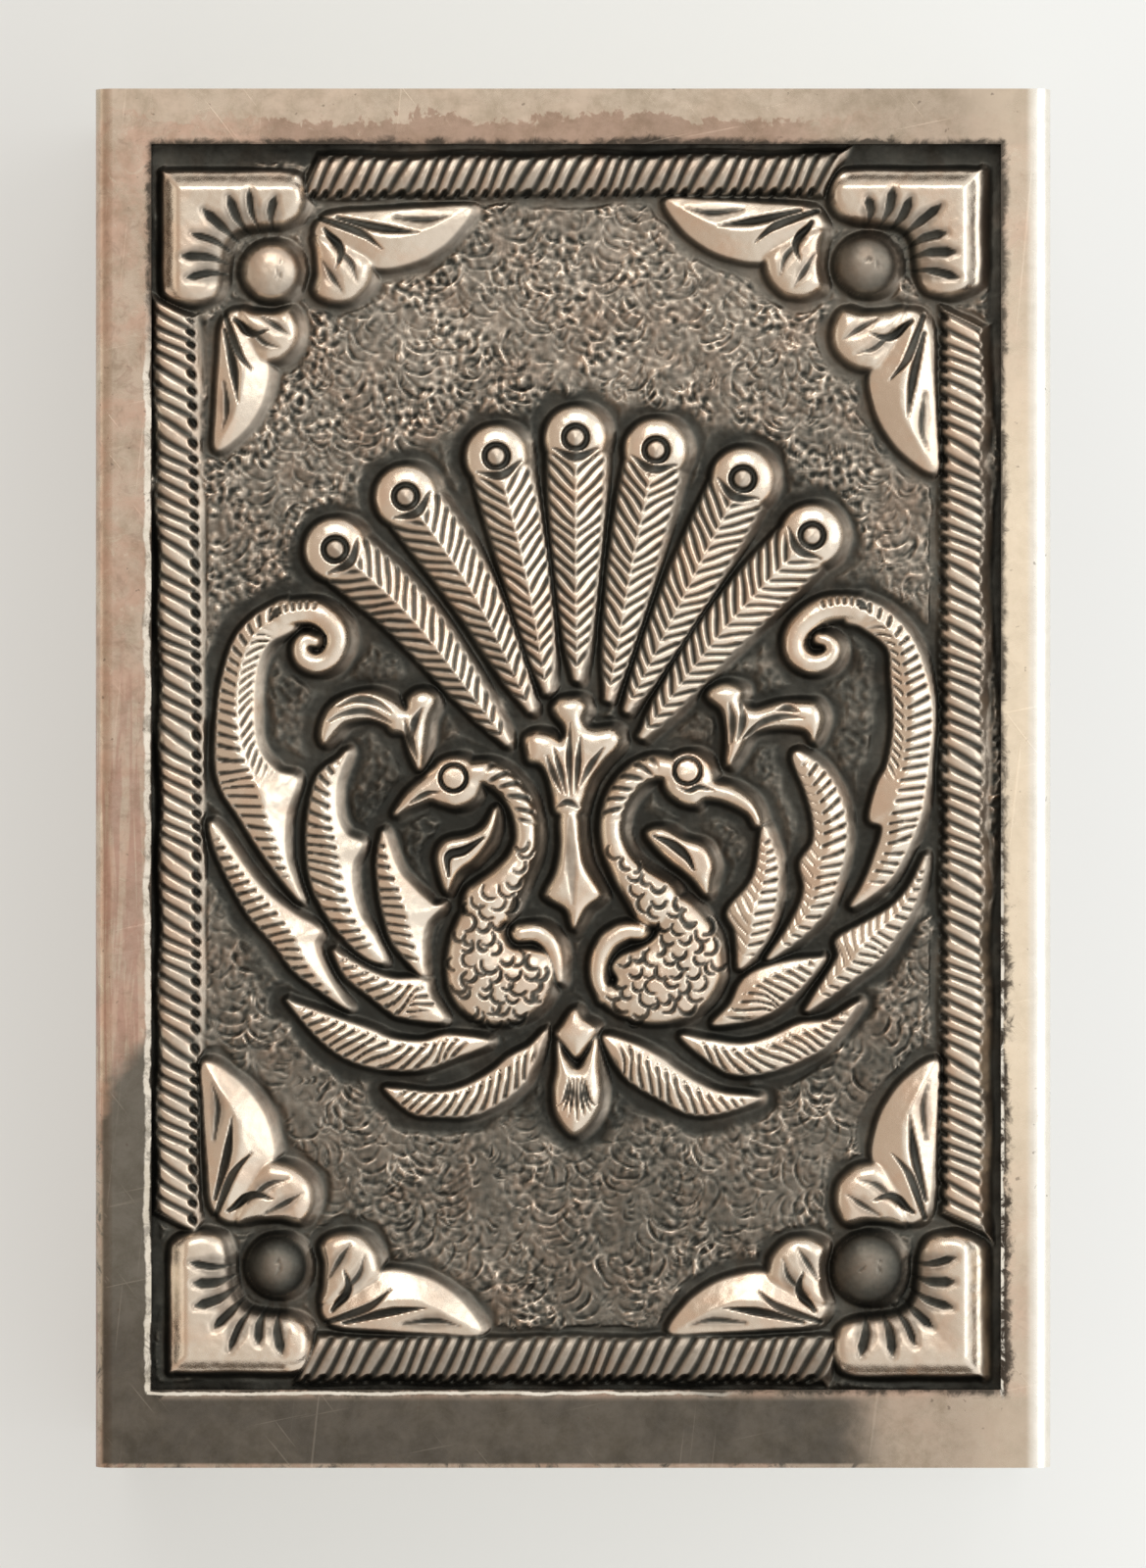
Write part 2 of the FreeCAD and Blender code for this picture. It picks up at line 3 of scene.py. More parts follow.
import bpy
import numpy as np
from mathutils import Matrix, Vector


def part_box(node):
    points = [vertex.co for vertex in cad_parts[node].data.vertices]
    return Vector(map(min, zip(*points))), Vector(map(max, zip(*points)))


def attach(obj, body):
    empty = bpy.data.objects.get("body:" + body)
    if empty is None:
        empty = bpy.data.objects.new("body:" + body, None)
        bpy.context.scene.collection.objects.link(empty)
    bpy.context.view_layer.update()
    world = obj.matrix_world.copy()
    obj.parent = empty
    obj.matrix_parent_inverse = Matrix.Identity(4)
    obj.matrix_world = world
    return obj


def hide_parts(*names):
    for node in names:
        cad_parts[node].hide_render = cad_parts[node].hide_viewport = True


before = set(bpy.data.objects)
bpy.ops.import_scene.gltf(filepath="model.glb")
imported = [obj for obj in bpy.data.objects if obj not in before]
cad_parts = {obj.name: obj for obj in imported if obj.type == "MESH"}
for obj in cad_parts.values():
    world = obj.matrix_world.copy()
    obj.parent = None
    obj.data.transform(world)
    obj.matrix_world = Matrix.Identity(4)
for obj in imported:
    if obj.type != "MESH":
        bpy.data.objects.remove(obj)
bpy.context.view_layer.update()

# A matchbox holder in chased silver. Lengths are millimetres, but metres where lamps and camera stand.
MM = 0.001
GRID_CELL = 0.065
PANEL_BANDS = ("panel_foot", "panel_tail", "panel_birds", "panel_fan", "panel_head")
WINDOW_LEFT, WINDOW_RIGHT = -16.75, 17.0
WINDOW_LOW, WINDOW_HIGH = -24.3, 25.2
UNDER_RIM = 0.2
FRONT_LEVEL = 16.1
MATCH_COUNT = 24
CARD_THICKNESS = 0.5

# Height of the work above the ground, and the walls and dark run beside it
GROUND_DROP = 0.6
EDGE_HEIGHT = 0.26
LEAF_REACH = 1.0
WALL_RUN = 0.3
EDGE_ROUND = 0.06
TRENCH_DEPTH = 0.12
TRENCH_NEAR, TRENCH_FAR = 0.5, 0.95
BORDER_NEAR, BORDER_FAR = 0.25, 0.65
TOP_STRIP = 0.6
CUT_DEPTH = 0.13

# Tarnish of the ground and the raised work, and the lighter tone painted on walls that face the right lamp as
# a painted highlight: 0 is bright and 1 is black
GROUND_TONE, PAINTED_WALL_LIGHT_TONE, TOP_TONE = 0.675, 0.42, 0.06

# Punches of the matted ground: gap of the rows, step and marks in a row, radii, weights and end burr
BROAD_PUNCH = (2.1, 0.5, 7, (0.6, 1.0), (0.5, 1.0), 0.9)
NARROW_PUNCH = (1.25, 0.29, 6, (0.14, 0.4), (0.1, 0.8), 0.0)
PUNCH_HALF_WIDTH, BURR_HALF_WIDTH, BURR_AWAY = 0.055, 0.05, 0.115
PUNCH_SHAKE = 0.075
BROAD_SHAKE_SHARE = 0.4
SCATTER_SEED = 7

# Fan feathers: root, bend and eye
FAN_FEATHERS = [
    ((-2.65, 1.45), (-6.4, 6.3), (-9.45, 9.1)),
    ((-1.7, 2.75), (-4.0, 7.35), (-6.65, 11.2)),
    ((-1.05, 3.5), (-1.9, 8.15), (-3.05, 12.8)),
    ((0.15, 4.0), (0.1, 8.7), (0.1, 13.55)),
    ((1.4, 3.2), (2.35, 8.55), (3.3, 13.05)),
    ((2.15, 2.75), (4.6, 7.65), (6.75, 11.9)),
    ((2.75, 1.7), (6.05, 6.0), (9.5, 9.65)),
]
FAN_SHARES = (0, 0.13, 0.29, 0.53, 0.78, 1)
FAN_HALF_WIDTHS = (0.12, 0.43, 0.66, 0.9, 1.05, 1.1)
FAN_PAINTED_SHADE, EYE_SHADE, BODY_SHADE = 0.15, 0.3, 0.1
FAN_HEAD = 1.22
FAN_PITCH, FAN_LEAN = 0.5, 0.95
FAN_SLOPE, FAN_CROWN = 0.48, 0.42

# Scrolls: outer edge, inner edge and ridge of the body, then the line of the curl
SCROLLS = [
    ([(-11.3, 7.05), (-12.2, 6.75), (-12.95, 6.2), (-13.5, 5.45), (-13.85, 4.4), (-14.1, 3.2),
      (-14.2, 1.8), (-14.2, 0.4), (-13.9, -0.6), (-13.3, -1.5), (-12.55, -2.7), (-11.65, -3.95),
      (-10.85, -4.85)],
     [(-11.1, 6.0), (-12.05, 5.4), (-12.55, 4.45), (-12.7, 2.9), (-12.55, 1.3), (-11.85, 0.35),
      (-11, -0.05), (-11.4, -1.4), (-11.45, -2.95), (-11.15, -3.95)],
     [(-11.3, 6.5), (-12.45, 5.95), (-13.05, 5.0), (-13.35, 3.65), (-13.3, 2.3), (-13.15, 1.15),
      (-12.65, 0.05), (-12.25, -1.1), (-11.85, -2.4), (-11.45, -3.55), (-10.85, -4.8)],
     [(-11.6, 6.45), (-11.0, 6.6), (-10.3, 6.6), (-9.75, 6.3), (-9.4, 5.8), (-9.4, 5.25), (-9.7, 4.75),
      (-10.2, 4.55), (-10.7, 4.75), (-10.85, 5.2), (-10.65, 5.5), (-10.3, 5.45)]),
    ([(10.9, 7.2), (12.3, 6.8), (13.45, 5.6), (14.05, 4.05), (14.3, 2.5), (14.15, 0.55), (13.85, -1.4),
      (13.25, -2.95), (12.5, -4.15), (11.1, -5.1)],
     [(10.8, 6.3), (11.5, 6.0), (12.5, 5.2), (12.65, 4.05), (12.75, 2.1), (12.5, 0.55), (12.1, -0.25),
      (11.8, -1.6), (12.3, -2.0), (11.9, -3.35), (11.5, -4.3)],
     [(11.0, 6.8), (11.9, 6.45), (12.75, 5.6), (13.1, 4.05), (13.2, 2.5), (13.1, 0.95), (12.85, -0.25),
      (12.55, -1.6), (12.45, -2.65), (11.9, -3.8), (11.2, -5.0)],
     [(11.3, 6.75), (10.7, 6.8), (10.0, 6.7), (9.35, 6.3), (8.9, 5.75), (8.8, 5.2), (9.05, 4.75),
      (9.55, 4.55), (10.1, 4.7), (10.35, 5.1), (10.15, 5.45), (9.8, 5.55)]),
]
CURL_HALF_WIDTHS = (0.46, 0.46, 0.46, 0.46, 0.46, 0.45, 0.43, 0.4, 0.38, 0.34, 0.28, 0.2)

# Side feathers: outer edge, inner edge with its barb, and ridge, each from the free tip to the root
BARBED_FEATHERS = [
    ([(-9.35, 0.75), (-10.1, 0.15), (-10.45, -1), (-10.6, -2.2), (-10.5, -3.75), (-10.1, -4.9),
      (-9.35, -6.05), (-8.35, -7.05), (-7.55, -7.3)],
     [(-9.0, 1.0), (-9.4, -0.25), (-9.4, -1.4), (-9.05, -2.2), (-8.4, -2.6), (-8.75, -3.35),
      (-8.8, -4.15), (-8.55, -5.3), (-7.95, -6.25)],
     [(-9.15, 0.85), (-9.65, -0.25), (-9.62, -1.6), (-9.33, -2.8), (-9.05, -4.6), (-8.45, -6.0),
      (-7.55, -7.2)]),
    ([(-7.65, -2.4), (-7.8, -3.35), (-7.75, -4.15), (-7.65, -4.9), (-7.45, -5.7), (-7.2, -6.45),
      (-6.6, -7.25), (-6.0, -7.85)],
     [(-7.5, -2.2), (-7, -3.55), (-6.4, -4.3), (-5.65, -5), (-5.25, -5.1), (-5.8, -5.7), (-6, -6.45),
      (-6, -7.3)],
     [(-7.55, -2.35), (-7.25, -3.55), (-6.85, -4.5), (-6.55, -5.5), (-6.35, -6.45), (-6.05, -7.7)]),
    ([(-14.45, -2), (-14.1, -3.15), (-13.55, -4.3), (-12.85, -5.5), (-11.85, -6.65), (-11.1, -7.65),
      (-10.2, -8.35), (-9.0, -9.15)],
     [(-14.2, -1.9), (-13.05, -3.55), (-12.25, -4.5), (-11.25, -5.3), (-10.15, -6), (-10.3, -6.65),
      (-9.9, -7.65), (-9.35, -8.6)],
     [(-14.3, -2.05), (-13.22, -3.6), (-12.42, -4.6), (-11.6, -5.5), (-10.98, -6.4), (-10.6, -7.3),
      (-9.95, -8.2), (-9.05, -9.05)]),
    ([(9.0, 1.05), (9.95, 0.35), (10.55, -0.6), (10.85, -1.8), (10.8, -2.95), (10.55, -3.95),
      (10.15, -5.1), (9.2, -6.2), (7.75, -7.2)],
     [(8.75, 0.75), (9.25, -0.5), (9.55, -1.6), (9.55, -2.55), (9.05, -3.35), (9.2, -4.3), (9.0, -5.1),
      (8.5, -6.05)],
     [(8.9, 0.85), (9.55, -0.45), (9.9, -1.6), (9.85, -2.75), (9.6, -3.95), (9.4, -5.1), (8.75, -6.1),
      (7.8, -7.15)]),
    ([(7.65, -2.0), (7.85, -2.55), (8.1, -3.35), (8.1, -4.5), (7.9, -5.7), (7.5, -6.65), (6.65, -7.55)],
     [(7.5, -2.1), (7.3, -3.55), (6.95, -4.3), (6.15, -5.3), (6.45, -6.05), (6.55, -6.9)],
     [(7.6, -2.1), (7.6, -3.55), (7.4, -4.5), (7.1, -5.5), (6.95, -6.45), (6.65, -7.4)]),
    ([(14.0, -3.2), (13.85, -4.15), (13.45, -5.3), (12.85, -6.25), (12.1, -7.25), (11.1, -8),
      (10.15, -8.7), (9.3, -9.25)],
     [(13.9, -3.3), (13.35, -4.35), (12.6, -5.15), (11.6, -5.75), (10.5, -6.4), (10.55, -7.05),
      (10.1, -7.85), (9.5, -8.8)],
     [(13.95, -3.3), (13.4, -4.6), (12.6, -5.6), (11.65, -6.4), (11.05, -7.25), (10.35, -8),
      (9.4, -9.1)]),
]
LOW_FEATHERS = [
    ([(-9.5, -6.95), (-9.05, -7.85), (-8.15, -8.6), (-7.4, -9.2), (-6.8, -9.5), (-5.2, -9.65)],
     [(-9.3, -7.0), (-8.15, -7.65), (-7.2, -7.95), (-6, -8), (-5.75, -8.6)],
     [(-9.4, -7.0), (-8.25, -7.75), (-7.2, -8.15), (-6.2, -8.25), (-5.65, -8.8), (-5.25, -9.55)]),
    ([(9.9, -7.25), (9.15, -8.2), (8.4, -8.9), (7.4, -9.5), (5.6, -9.8)],
     [(9.6, -7.15), (8.4, -7.3), (7.2, -7.7), (6.65, -8.2), (6.25, -9)],
     [(9.75, -7.2), (7.8, -7.85), (7.05, -8.35), (6.45, -9.1), (5.7, -9.75)]),
    ([(-11.3, -8.95), (-10.3, -10.15), (-9.35, -10.95), (-8.35, -11.4), (-7.2, -11.6), (-6, -11.55),
      (-4.85, -11.15), (-3.35, -10.5)],
     [(-11.1, -8.95), (-9.5, -9.5), (-8.15, -9.95), (-7.2, -10.35), (-6, -10.45), (-4.9, -10.2)],
     [(-11.2, -9.0), (-9.6, -9.65), (-8.25, -10.15), (-7.2, -10.55), (-6, -10.65), (-5.05, -10.45),
      (-3.4, -10.5)]),
    ([(11.25, -9.1), (10.15, -10.55), (9.15, -11.15), (8, -11.6), (6.85, -11.8), (5.85, -11.55),
      (4.3, -10.3)],
     [(11.1, -9.05), (10.15, -9.6), (9, -9.75), (7.8, -10.3), (6.65, -10.55), (5.3, -10.4)],
     [(11.15, -9.1), (10.05, -9.8), (9, -10.1), (7.8, -10.6), (6.65, -10.85), (5.45, -10.65),
      (4.35, -10.35)]),
    ([(-7.4, -12.45), (-6.4, -13.3), (-5.25, -13.45), (-4.05, -13.4), (-2.9, -12.9), (-2.1, -12.25),
      (-1.75, -11.7), (-1.1, -10.1)],
     [(-7.2, -12.35), (-5.65, -12.5), (-4.45, -12.3), (-3.3, -11.7), (-2.5, -11.05), (-1.75, -10.65)],
     [(-7.3, -12.4), (-5.65, -12.65), (-4.45, -12.5), (-3.3, -11.95), (-2.45, -11.35), (-1.75, -10.85),
      (-1.15, -10.2)]),
    ([(7.25, -12.85), (5.65, -13.35), (4.5, -13.3), (3.35, -12.7), (2.55, -12.25), (1.95, -11.7),
      (1.2, -10.3)],
     [(7.1, -12.65), (5.85, -12.5), (4.9, -12.1), (4.1, -11.6), (3.35, -11.05), (2.35, -10.55)],
     [(7.15, -12.75), (5.85, -12.7), (4.75, -12.3), (4.05, -11.85), (3.15, -11.3), (2.35, -10.75),
      (1.3, -10.35)]),
]
FEATHER_PITCH = 0.42
SHADED_HATCH_SHARPNESS, HATCH_SHARPNESS, LIT_HATCH_SHARPNESS = 1.7, 2.6, 4.0
SCROLL_SLOPE, SCROLL_LEAN, SCROLL_INNER_LEAN = 0.5, 0.36, 1.1
BARBED_SLOPE, BARBED_LEAN, BARBED_INNER_LEAN = 0.46, 0.42, 0.9
LOW_FEATHER_SLOPE, LOW_FEATHER_LEAN, LOW_FEATHER_PITCH = 0.5, 0.85, 0.46
CURL_CROWN, CURL_PITCH = 0.42, 0.26

# Sprigs: outline, then the grooves along their lobes
SPRIGS = [
    ([(-10.1, 1.75), (-9.9, 2.5), (-9.35, 3.1), (-8.15, 3.45), (-7.2, 3.15), (-6.65, 2.75), (-6.55, 3.2),
      (-6.1, 3.5), (-5.55, 3.35), (-5.45, 3.0), (-5.75, 2.3), (-5.85, 1.4), (-6.1, 0.35), (-6.45, 0.9),
      (-6.7, 1.7), (-7.2, 1.85), (-7.5, 2.15), (-8.15, 2.35), (-9.0, 2.2), (-9.45, 1.75), (-9.9, 1.35)],
     [[(-9.4, 2.85), (-8.6, 3.15), (-7.8, 3.0), (-7.25, 2.6)],
      [(-9.75, 2.25), (-9.1, 2.55), (-8.2, 2.65), (-7.2, 2.2)],
      [(-6.0, 2.8), (-6.3, 2.2), (-6.4, 1.5)], [(-6.7, 2.3), (-6.5, 1.6), (-6.2, 0.8)]]),
    ([(9.95, 2.3), (9.75, 2.9), (9.2, 3.05), (8.2, 3.0), (7.2, 2.75), (6.7, 3.05), (6.75, 3.5),
      (6.1, 3.75), (5.45, 3.5), (5.4, 3.15), (5.9, 2.7), (6.1, 1.9), (6.15, 0.55), (6.6, 1.0),
      (7.0, 1.7), (7.6, 1.95), (8.5, 2.0), (9.2, 1.9), (9.6, 1.5)],
     [[(9.1, 2.4), (8.3, 2.45), (7.5, 2.2), (6.8, 1.6)], [(8.1, 2.7), (8.5, 2.8), (8.95, 2.65)],
      [(6.7, 2.95), (6.75, 2.3), (6.55, 1.5)], [(6.2, 3.0), (6.35, 2.3), (6.3, 1.4)]]),
]

# The stem between the birds and the bud below them, with the root of the bud's lines
BUD_ROOT = (0.15, -11.7)
TREFOIL = [
    (-1.85, 1.65), (-1.45, 1.85), (-0.8, 1.7), (-0.55, 1.5), (-0.3, 1.75), (-0.4, 2.15), (-0.75, 2.6),
    (-0.7, 3), (-0.25, 3.2), (0.3, 3.15), (0.55, 2.8), (0.4, 2.4), (0.55, 2.05), (0.9, 1.95), (1.55, 2),
    (1.9, 1.65), (1.8, 1.25), (1.3, 0.7), (0.75, -0.05), (0.45, -0.9), (0.25, -1.4), (-0.6, -1.4),
    (-0.8, -0.65), (-1, 0.1), (-1.3, 0.55), (-1.75, 0.7), (-1.9, 1.2),
]
SHAFT = [
    (-0.5, -1.5), (-0.15, -1.1), (0.25, -1.45), (0.35, -2.5), (0.55, -3.5), (1.15, -4.5), (1.05, -4.8),
    (0.55, -5.2), (0.05, -5.95), (-0.3, -5.2), (-1.05, -4.75), (-1.05, -4.45), (-0.7, -3.75),
    (-0.5, -2.75),
]
STEM_GROOVES = [
    [(-0.45, -0.6), (-0.75, 0.1), (-1.05, 0.9)], [(-0.3, -0.6), (-0.5, 0.3), (-0.75, 1.15)],
    [(-0.1, -0.7), (-0.15, 0.8), (-0.1, 2.2)], [(0.1, -0.6), (0.2, 0.5), (0.3, 1.6)],
    [(0.3, -0.3), (0.7, 0.5), (1.2, 1.2)], [(-0.65, -1.15), (-0.2, -0.95), (0.25, -1.2)],
]
SHAFT_GROOVE = [(-0.15, -1.6), (-0.1, -2.8), (-0.05, -4.0), (0.0, -5.0)]
BUD_TOP = [
    (0.05, -9.2), (0.4, -9.6), (0.9, -9.95), (0.65, -10.5), (0.15, -11.1), (-0.3, -10.65), (-0.65, -10.2),
    (-0.45, -9.85),
]
BUD_LOW = [
    (-0.6, -10.5), (-0.45, -10.95), (0.15, -11.55), (0.6, -10.95), (0.9, -10.35), (1.05, -11.6),
    (1.15, -12.55), (0.9, -13.45), (0.05, -14.2), (-0.65, -13.45), (-0.8, -12.45), (-0.65, -11.6),
]

# Birds: head, eye, beak, mouth, neck, body, tail, wing and the wing's hollow of each
BIRDS = [
    {"head": (-4.65, -0.15), "eye": (-4.75, 0.02),
     "beak": [(-5.3, 0.5), (-6.0, 0.0), (-6.6, -0.55), (-7.1, -1.3), (-7.0, -1.45), (-6.4, -1.15),
              (-5.7, -0.9), (-5.2, -1.05), (-4.6, -1.15), (-4.0, -0.7), (-4.2, 0.6)],
     "mouth": [(-5.3, -0.55), (-5.8, -0.6), (-6.5, -1.0)],
     "neck": [(-4.0, 0.2), (-3.4, 0.2), (-2.7, -0.2), (-2.1, -1.0), (-1.85, -2.0), (-1.95, -2.9),
              (-2.5, -3.9), (-3.35, -5.0)],
     "body": [(-4.1, -5.1), (-4.75, -6.1), (-5, -7.25), (-4.9, -8.35), (-4.4, -9.2), (-3.55, -9.7),
              (-2.45, -9.7), (-1.45, -9.2), (-0.9, -8.45), (-0.8, -7.6), (-1.05, -7), (-1.7, -6.8),
              (-2.45, -6.75), (-2.8, -6.25), (-2.8, -5.5), (-2.6, -4.7)],
     "tail": [(-2.1, -6.18), (-1.45, -6.15), (-0.95, -6.5), (-0.68, -7.1), (-0.55, -8.0)],
     "tail_widths": (0.32, 0.36, 0.34, 0.24, 0.1),
     "wing": [(-3.1, -1.2), (-3.05, -1.75), (-3.3, -2.5), (-3.9, -3.25), (-4.55, -3.75), (-5, -4.5),
              (-5.4, -3.5), (-5.4, -2.9), (-5.05, -2.45), (-4.15, -2.25), (-3.55, -1.9)],
     "hollow": [(-4.95, -3.9), (-4.95, -3.1), (-4.3, -2.85), (-3.55, -2.35)]},
    {"head": (4.6, 0.0), "eye": (4.55, 0.3),
     "beak": [(4.0, 0.8), (4.6, 0.85), (5.15, 0.55), (5.5, -0.05), (6.5, -0.4), (7.15, -0.9), (7.5, -1.7),
              (7.25, -1.9), (6.9, -1.4), (6, -0.95), (5.25, -0.85), (4.85, -1.1), (4.15, -0.9),
              (3.7, -0.3)],
     "mouth": [(4.15, -0.35), (4.6, -0.5), (5.0, -0.35), (5.6, -0.5)],
     "neck": [(3.9, 0.35), (3.2, 0.42), (2.5, 0.1), (1.85, -0.7), (1.55, -1.7), (1.65, -2.7),
              (2.2, -3.75), (3.25, -4.9)],
     "body": [(4.2, -4.7), (5.05, -5.3), (5.65, -6.2), (5.9, -7.1), (5.8, -8.1), (5.2, -9.0), (4.2, -9.6),
              (3.1, -9.75), (2.0, -9.45), (1.2, -8.9), (1.0, -8.4), (1.75, -8.1), (1.55, -7.5),
              (1.9, -7.05), (2.5, -6.8), (3.15, -6.45), (3.4, -6), (3.2, -5.2)],
     "tail": [(2.65, -6.1), (2.05, -6.1), (1.4, -6.5), (1.05, -7.2), (1.0, -8.0), (1.25, -8.7)],
     "tail_widths": (0.32, 0.36, 0.36, 0.34, 0.3, 0.25),
     "wing": [(2.95, -2.15), (3.55, -1.95), (4.4, -2.4), (5.25, -2.7), (5.6, -3.4), (5.5, -4),
              (5.3, -4.6), (4.65, -3.9), (3.8, -3.25), (3.2, -2.65)],
     "hollow": [(3.2, -2.3), (3.9, -2.6), (4.5, -3.1), (4.8, -3.65)]},
]
HEAD_RADIUS = 1.0
NECK_PITCH, NECK_LEAN = 0.52, 0.55
NECK_HALF_WIDTHS = (0.45, 0.46, 0.46, 0.44, 0.44, 0.5, 0.72, 1.0)
EYE_RING = 0.46

# Scales of the birds: step along a row, gap of the rows, shake, turn in degrees, least and greatest size
SCALE_STEP, SCALE_ROW = 0.62, 0.47
SCALE_SHAKE, SCALE_TURN = 0.17, 75
SMALL_SCALE, LARGE_SCALE = (0.23, 0.15), (0.37, 0.22)

# Corner flowers: boss, its radius, reach of the shell, tips of the two leaves, and how dulled the boss is
CORNERS = [
    ((-12.0, 20.15), 1.12, (-4.3, 3.95), (-4.1, 22.7), (-14.2, 13.1), 0.25),
    ((11.65, 20.4), 1.15, (4.5, 3.75), (3.7, 23.0), (14.4, 12.2), 0.6),
    ((-11.75, -19.4), 1.15, (-4.25, -4.2), (-3.7, -22.1), (-14.7, -11.3), 0.8),
    ((11.75, -19.5), 1.35, (4.45, -4.25), (3.85, -22.05), (14.45, -11.25), 0.7),
]
# Their outlines: the shell in shares of its reach, the leaf in shares of its tip's distance from the boss
SHELL = [
    (1.0, -0.1), (0.95, -0.24), (0.74, -0.32), (0.54, -0.27), (0.47, -0.12), (0.45, 0.07), (0.42, 0.27),
    (0.31, 0.41), (0.1, 0.46), (-0.1, 0.48), (-0.24, 0.55), (-0.31, 0.71), (-0.27, 0.9), (-0.12, 1.0),
    (0.4, 1.0), (0.94, 1.0), (1.0, 0.94), (1.0, 0.4),
]
BLADE = [
    (0.22, 0.6), (0.29, 0.88), (0.52, 0.95), (0.78, 1.0), (1.0, 1.0), (0.92, 0.56), (0.79, 0.25),
    (0.66, 0.1), (0.53, 0.06), (0.41, 0.25), (0.3, 0.43),
]
BLADE_RIDGE = [(0.23, 0.64), (0.42, 0.6), (0.62, 0.5), (0.82, 0.6), (0.99, 0.98)]
LOBE = [
    (0.22, 0.55), (0.32, 0.5), (0.42, 0.33), (0.5, 0.15), (0.5, -0.07), (0.47, -0.27), (0.4, -0.45),
    (0.3, -0.47), (0.22, -0.32), (0.235, -0.03), (0.23, 0.3),
]
LEAF_GROOVES = [
    [(0.27, 0.66), (0.35, 0.33), (0.33, 0.05)], [(0.24, 0.84), (0.45, 0.6), (0.56, 0.34)],
    [(0.33, 0.84), (0.54, 0.68), (0.74, 0.6)],
]
LEAF_LINES = [
    [(0.31, 0.4), (0.4, 0.14), (0.43, -0.15)], [(0.26, 0.15), (0.31, -0.1), (0.36, -0.33)],
    [(0.62, 0.85), (0.78, 0.8), (0.9, 0.88)],
]
SHELL_FRAME, SHELL_RISE, SHELL_SCOOP = 0.62, 0.5, 0.28
FLUTE_TURN, FLUTE_START, FLUTE_END = 16.5, 1.58, 3.85
FLUTE_WIDTH, FLUTE_SHADE_DIP, FLUTE_BEND = 1.0, 0.055, 0.13
SHELL_SHADE, PETAL_SHADE = 0.12, 0.08

# Ropes: start, end, bow to the right, half width, pitch, lean, side of the dots, and how dulled each is
ROPES = [
    ((-10.4, 23.95), (10.2, 24.05), 0.0, 0.72, 0.57, -0.45, -1, 0.3),
    ((-10.5, -23.1), (10.3, -23.1), 0.0, 0.8, 0.57, -0.45, -1, 0.42),
    ((-15.85, -17.6), (-15.95, 18.6), 0.22, 0.72, 0.62, -0.5, -1, 0.13),
    ((15.5, -17.6), (15.5, 18.2), 0.0, 0.74, 0.56, -0.45, 1, 0.13),
]
ROPE_SINK, ROPE_CROWN, DOT_DEPTH = 0.06, 0.22, 0.24

# Outline of the smooth dark field that the birds and feathers stand in
FIELD = [
    (-10.6, 9.2), (-7.4, 12.5), (-3.2, 14.3), (0.1, 15.0), (3.6, 14.5), (7.6, 13.2), (10.8, 10.4),
    (12.6, 7.4), (14.6, 4.5), (14.8, 0.0), (14.4, -4.0), (12.0, -8.6), (8.0, -12.2), (7.2, -13.6),
    (2.4, -13.6), (0.1, -15.0), (-2.2, -13.6), (-7.4, -13.2), (-8.2, -12.0), (-11.6, -9.6),
    (-13.6, -6.0), (-14.9, -2.0), (-14.8, 3.0), (-13.8, 6.8), (-11.6, 7.6),
]


def ease(low, high, value):
    """0 below low, 1 above high and a smooth rise between."""
    share = np.clip((value - low) / (high - low), 0, 1)
    return share * share * (3 - 2 * share)


def rounded(points, closed=False, steps=7):
    """More points on a smooth line through the given ones."""
    knots = np.array(points, float)
    if closed:
        knots = np.vstack([knots[-1:], knots, knots[:2]])
    else:
        knots = np.vstack([2 * knots[0] - knots[1], knots, 2 * knots[-1] - knots[-2]])
    share = np.arange(steps)[:, None] / steps
    line = []
    for before, start, end, after in zip(knots, knots[1:], knots[2:], knots[3:]):
        bend = 2 * before - 5 * start + 4 * end - after
        twist = 3 * start - before - 3 * end + after
        line.append(start + 0.5 * share * (end - before + share * (bend + share * twist)))
    if not closed:
        line.append(knots[-2:-1])
    return np.vstack(line)


def nearest(x, y, line):
    """For every place: distance to the line, how far along it, its side, and the line's length."""
    best = np.full(x.shape, 1e9)
    along = np.zeros(x.shape)
    side = np.ones(x.shape)
    run = 0.0
    for (ax, ay), (bx, by) in zip(line, line[1:]):
        dx, dy = bx - ax, by - ay
        length = math.hypot(dx, dy)
        if length == 0:
            continue
        share = np.clip(((x - ax) * dx + (y - ay) * dy) / length ** 2, 0, 1)
        away = (x - ax - share * dx) ** 2 + (y - ay - share * dy) ** 2
        closer = away < best
        best[closer] = away[closer]
        along[closer] = (run + share * length)[closer]
        side[closer] = np.sign(dx * (y - ay) - dy * (x - ax))[closer]
        run += length
    return np.sqrt(best), along, side, run


def depth_inside(x, y, outline):
    """How far each place is inside a closed outline, negative outside it."""
    ring = np.vstack([outline, outline[:1]])
    away = nearest(x, y, ring)[0]
    odd = np.zeros(x.shape, bool)
    for (ax, ay), (bx, by) in zip(ring, ring[1:]):
        if ay != by:
            crosses = (ay > y) != (by > y)
            odd ^= crosses & (x < (bx - ax) * (y - ay) / (by - ay) + ax)
    return np.where(odd, away, -away)


def comb(phase, sharp):
    """A row of narrow cuts, one for each whole step of the phase."""
    return (0.5 + 0.5 * np.cos(2 * np.pi * phase)) ** sharp


def uneven(along, seed):
    """A small drift that keeps a row of cuts from being regular."""
    return 0.14 * np.sin(1.7 * along + seed) + 0.07 * np.sin(4.3 * along + 2 * seed)


def blurred(field, reach):
    """The field averaged over a square of cells, twice."""
    for _ in range(2):
        for axis in (0, 1):
            padding = [(reach + 1, reach) if way == axis else (0, 0) for way in (0, 1)]
            total = np.cumsum(np.pad(field, padding, mode="edge"), axis=axis)
            size = field.shape[axis]
            ends = np.take(total, np.arange(2 * reach + 1, 2 * reach + 1 + size), axis=axis)
            starts = np.take(total, np.arange(size), axis=axis)
            field = (ends - starts) / (2 * reach + 1)
    return field


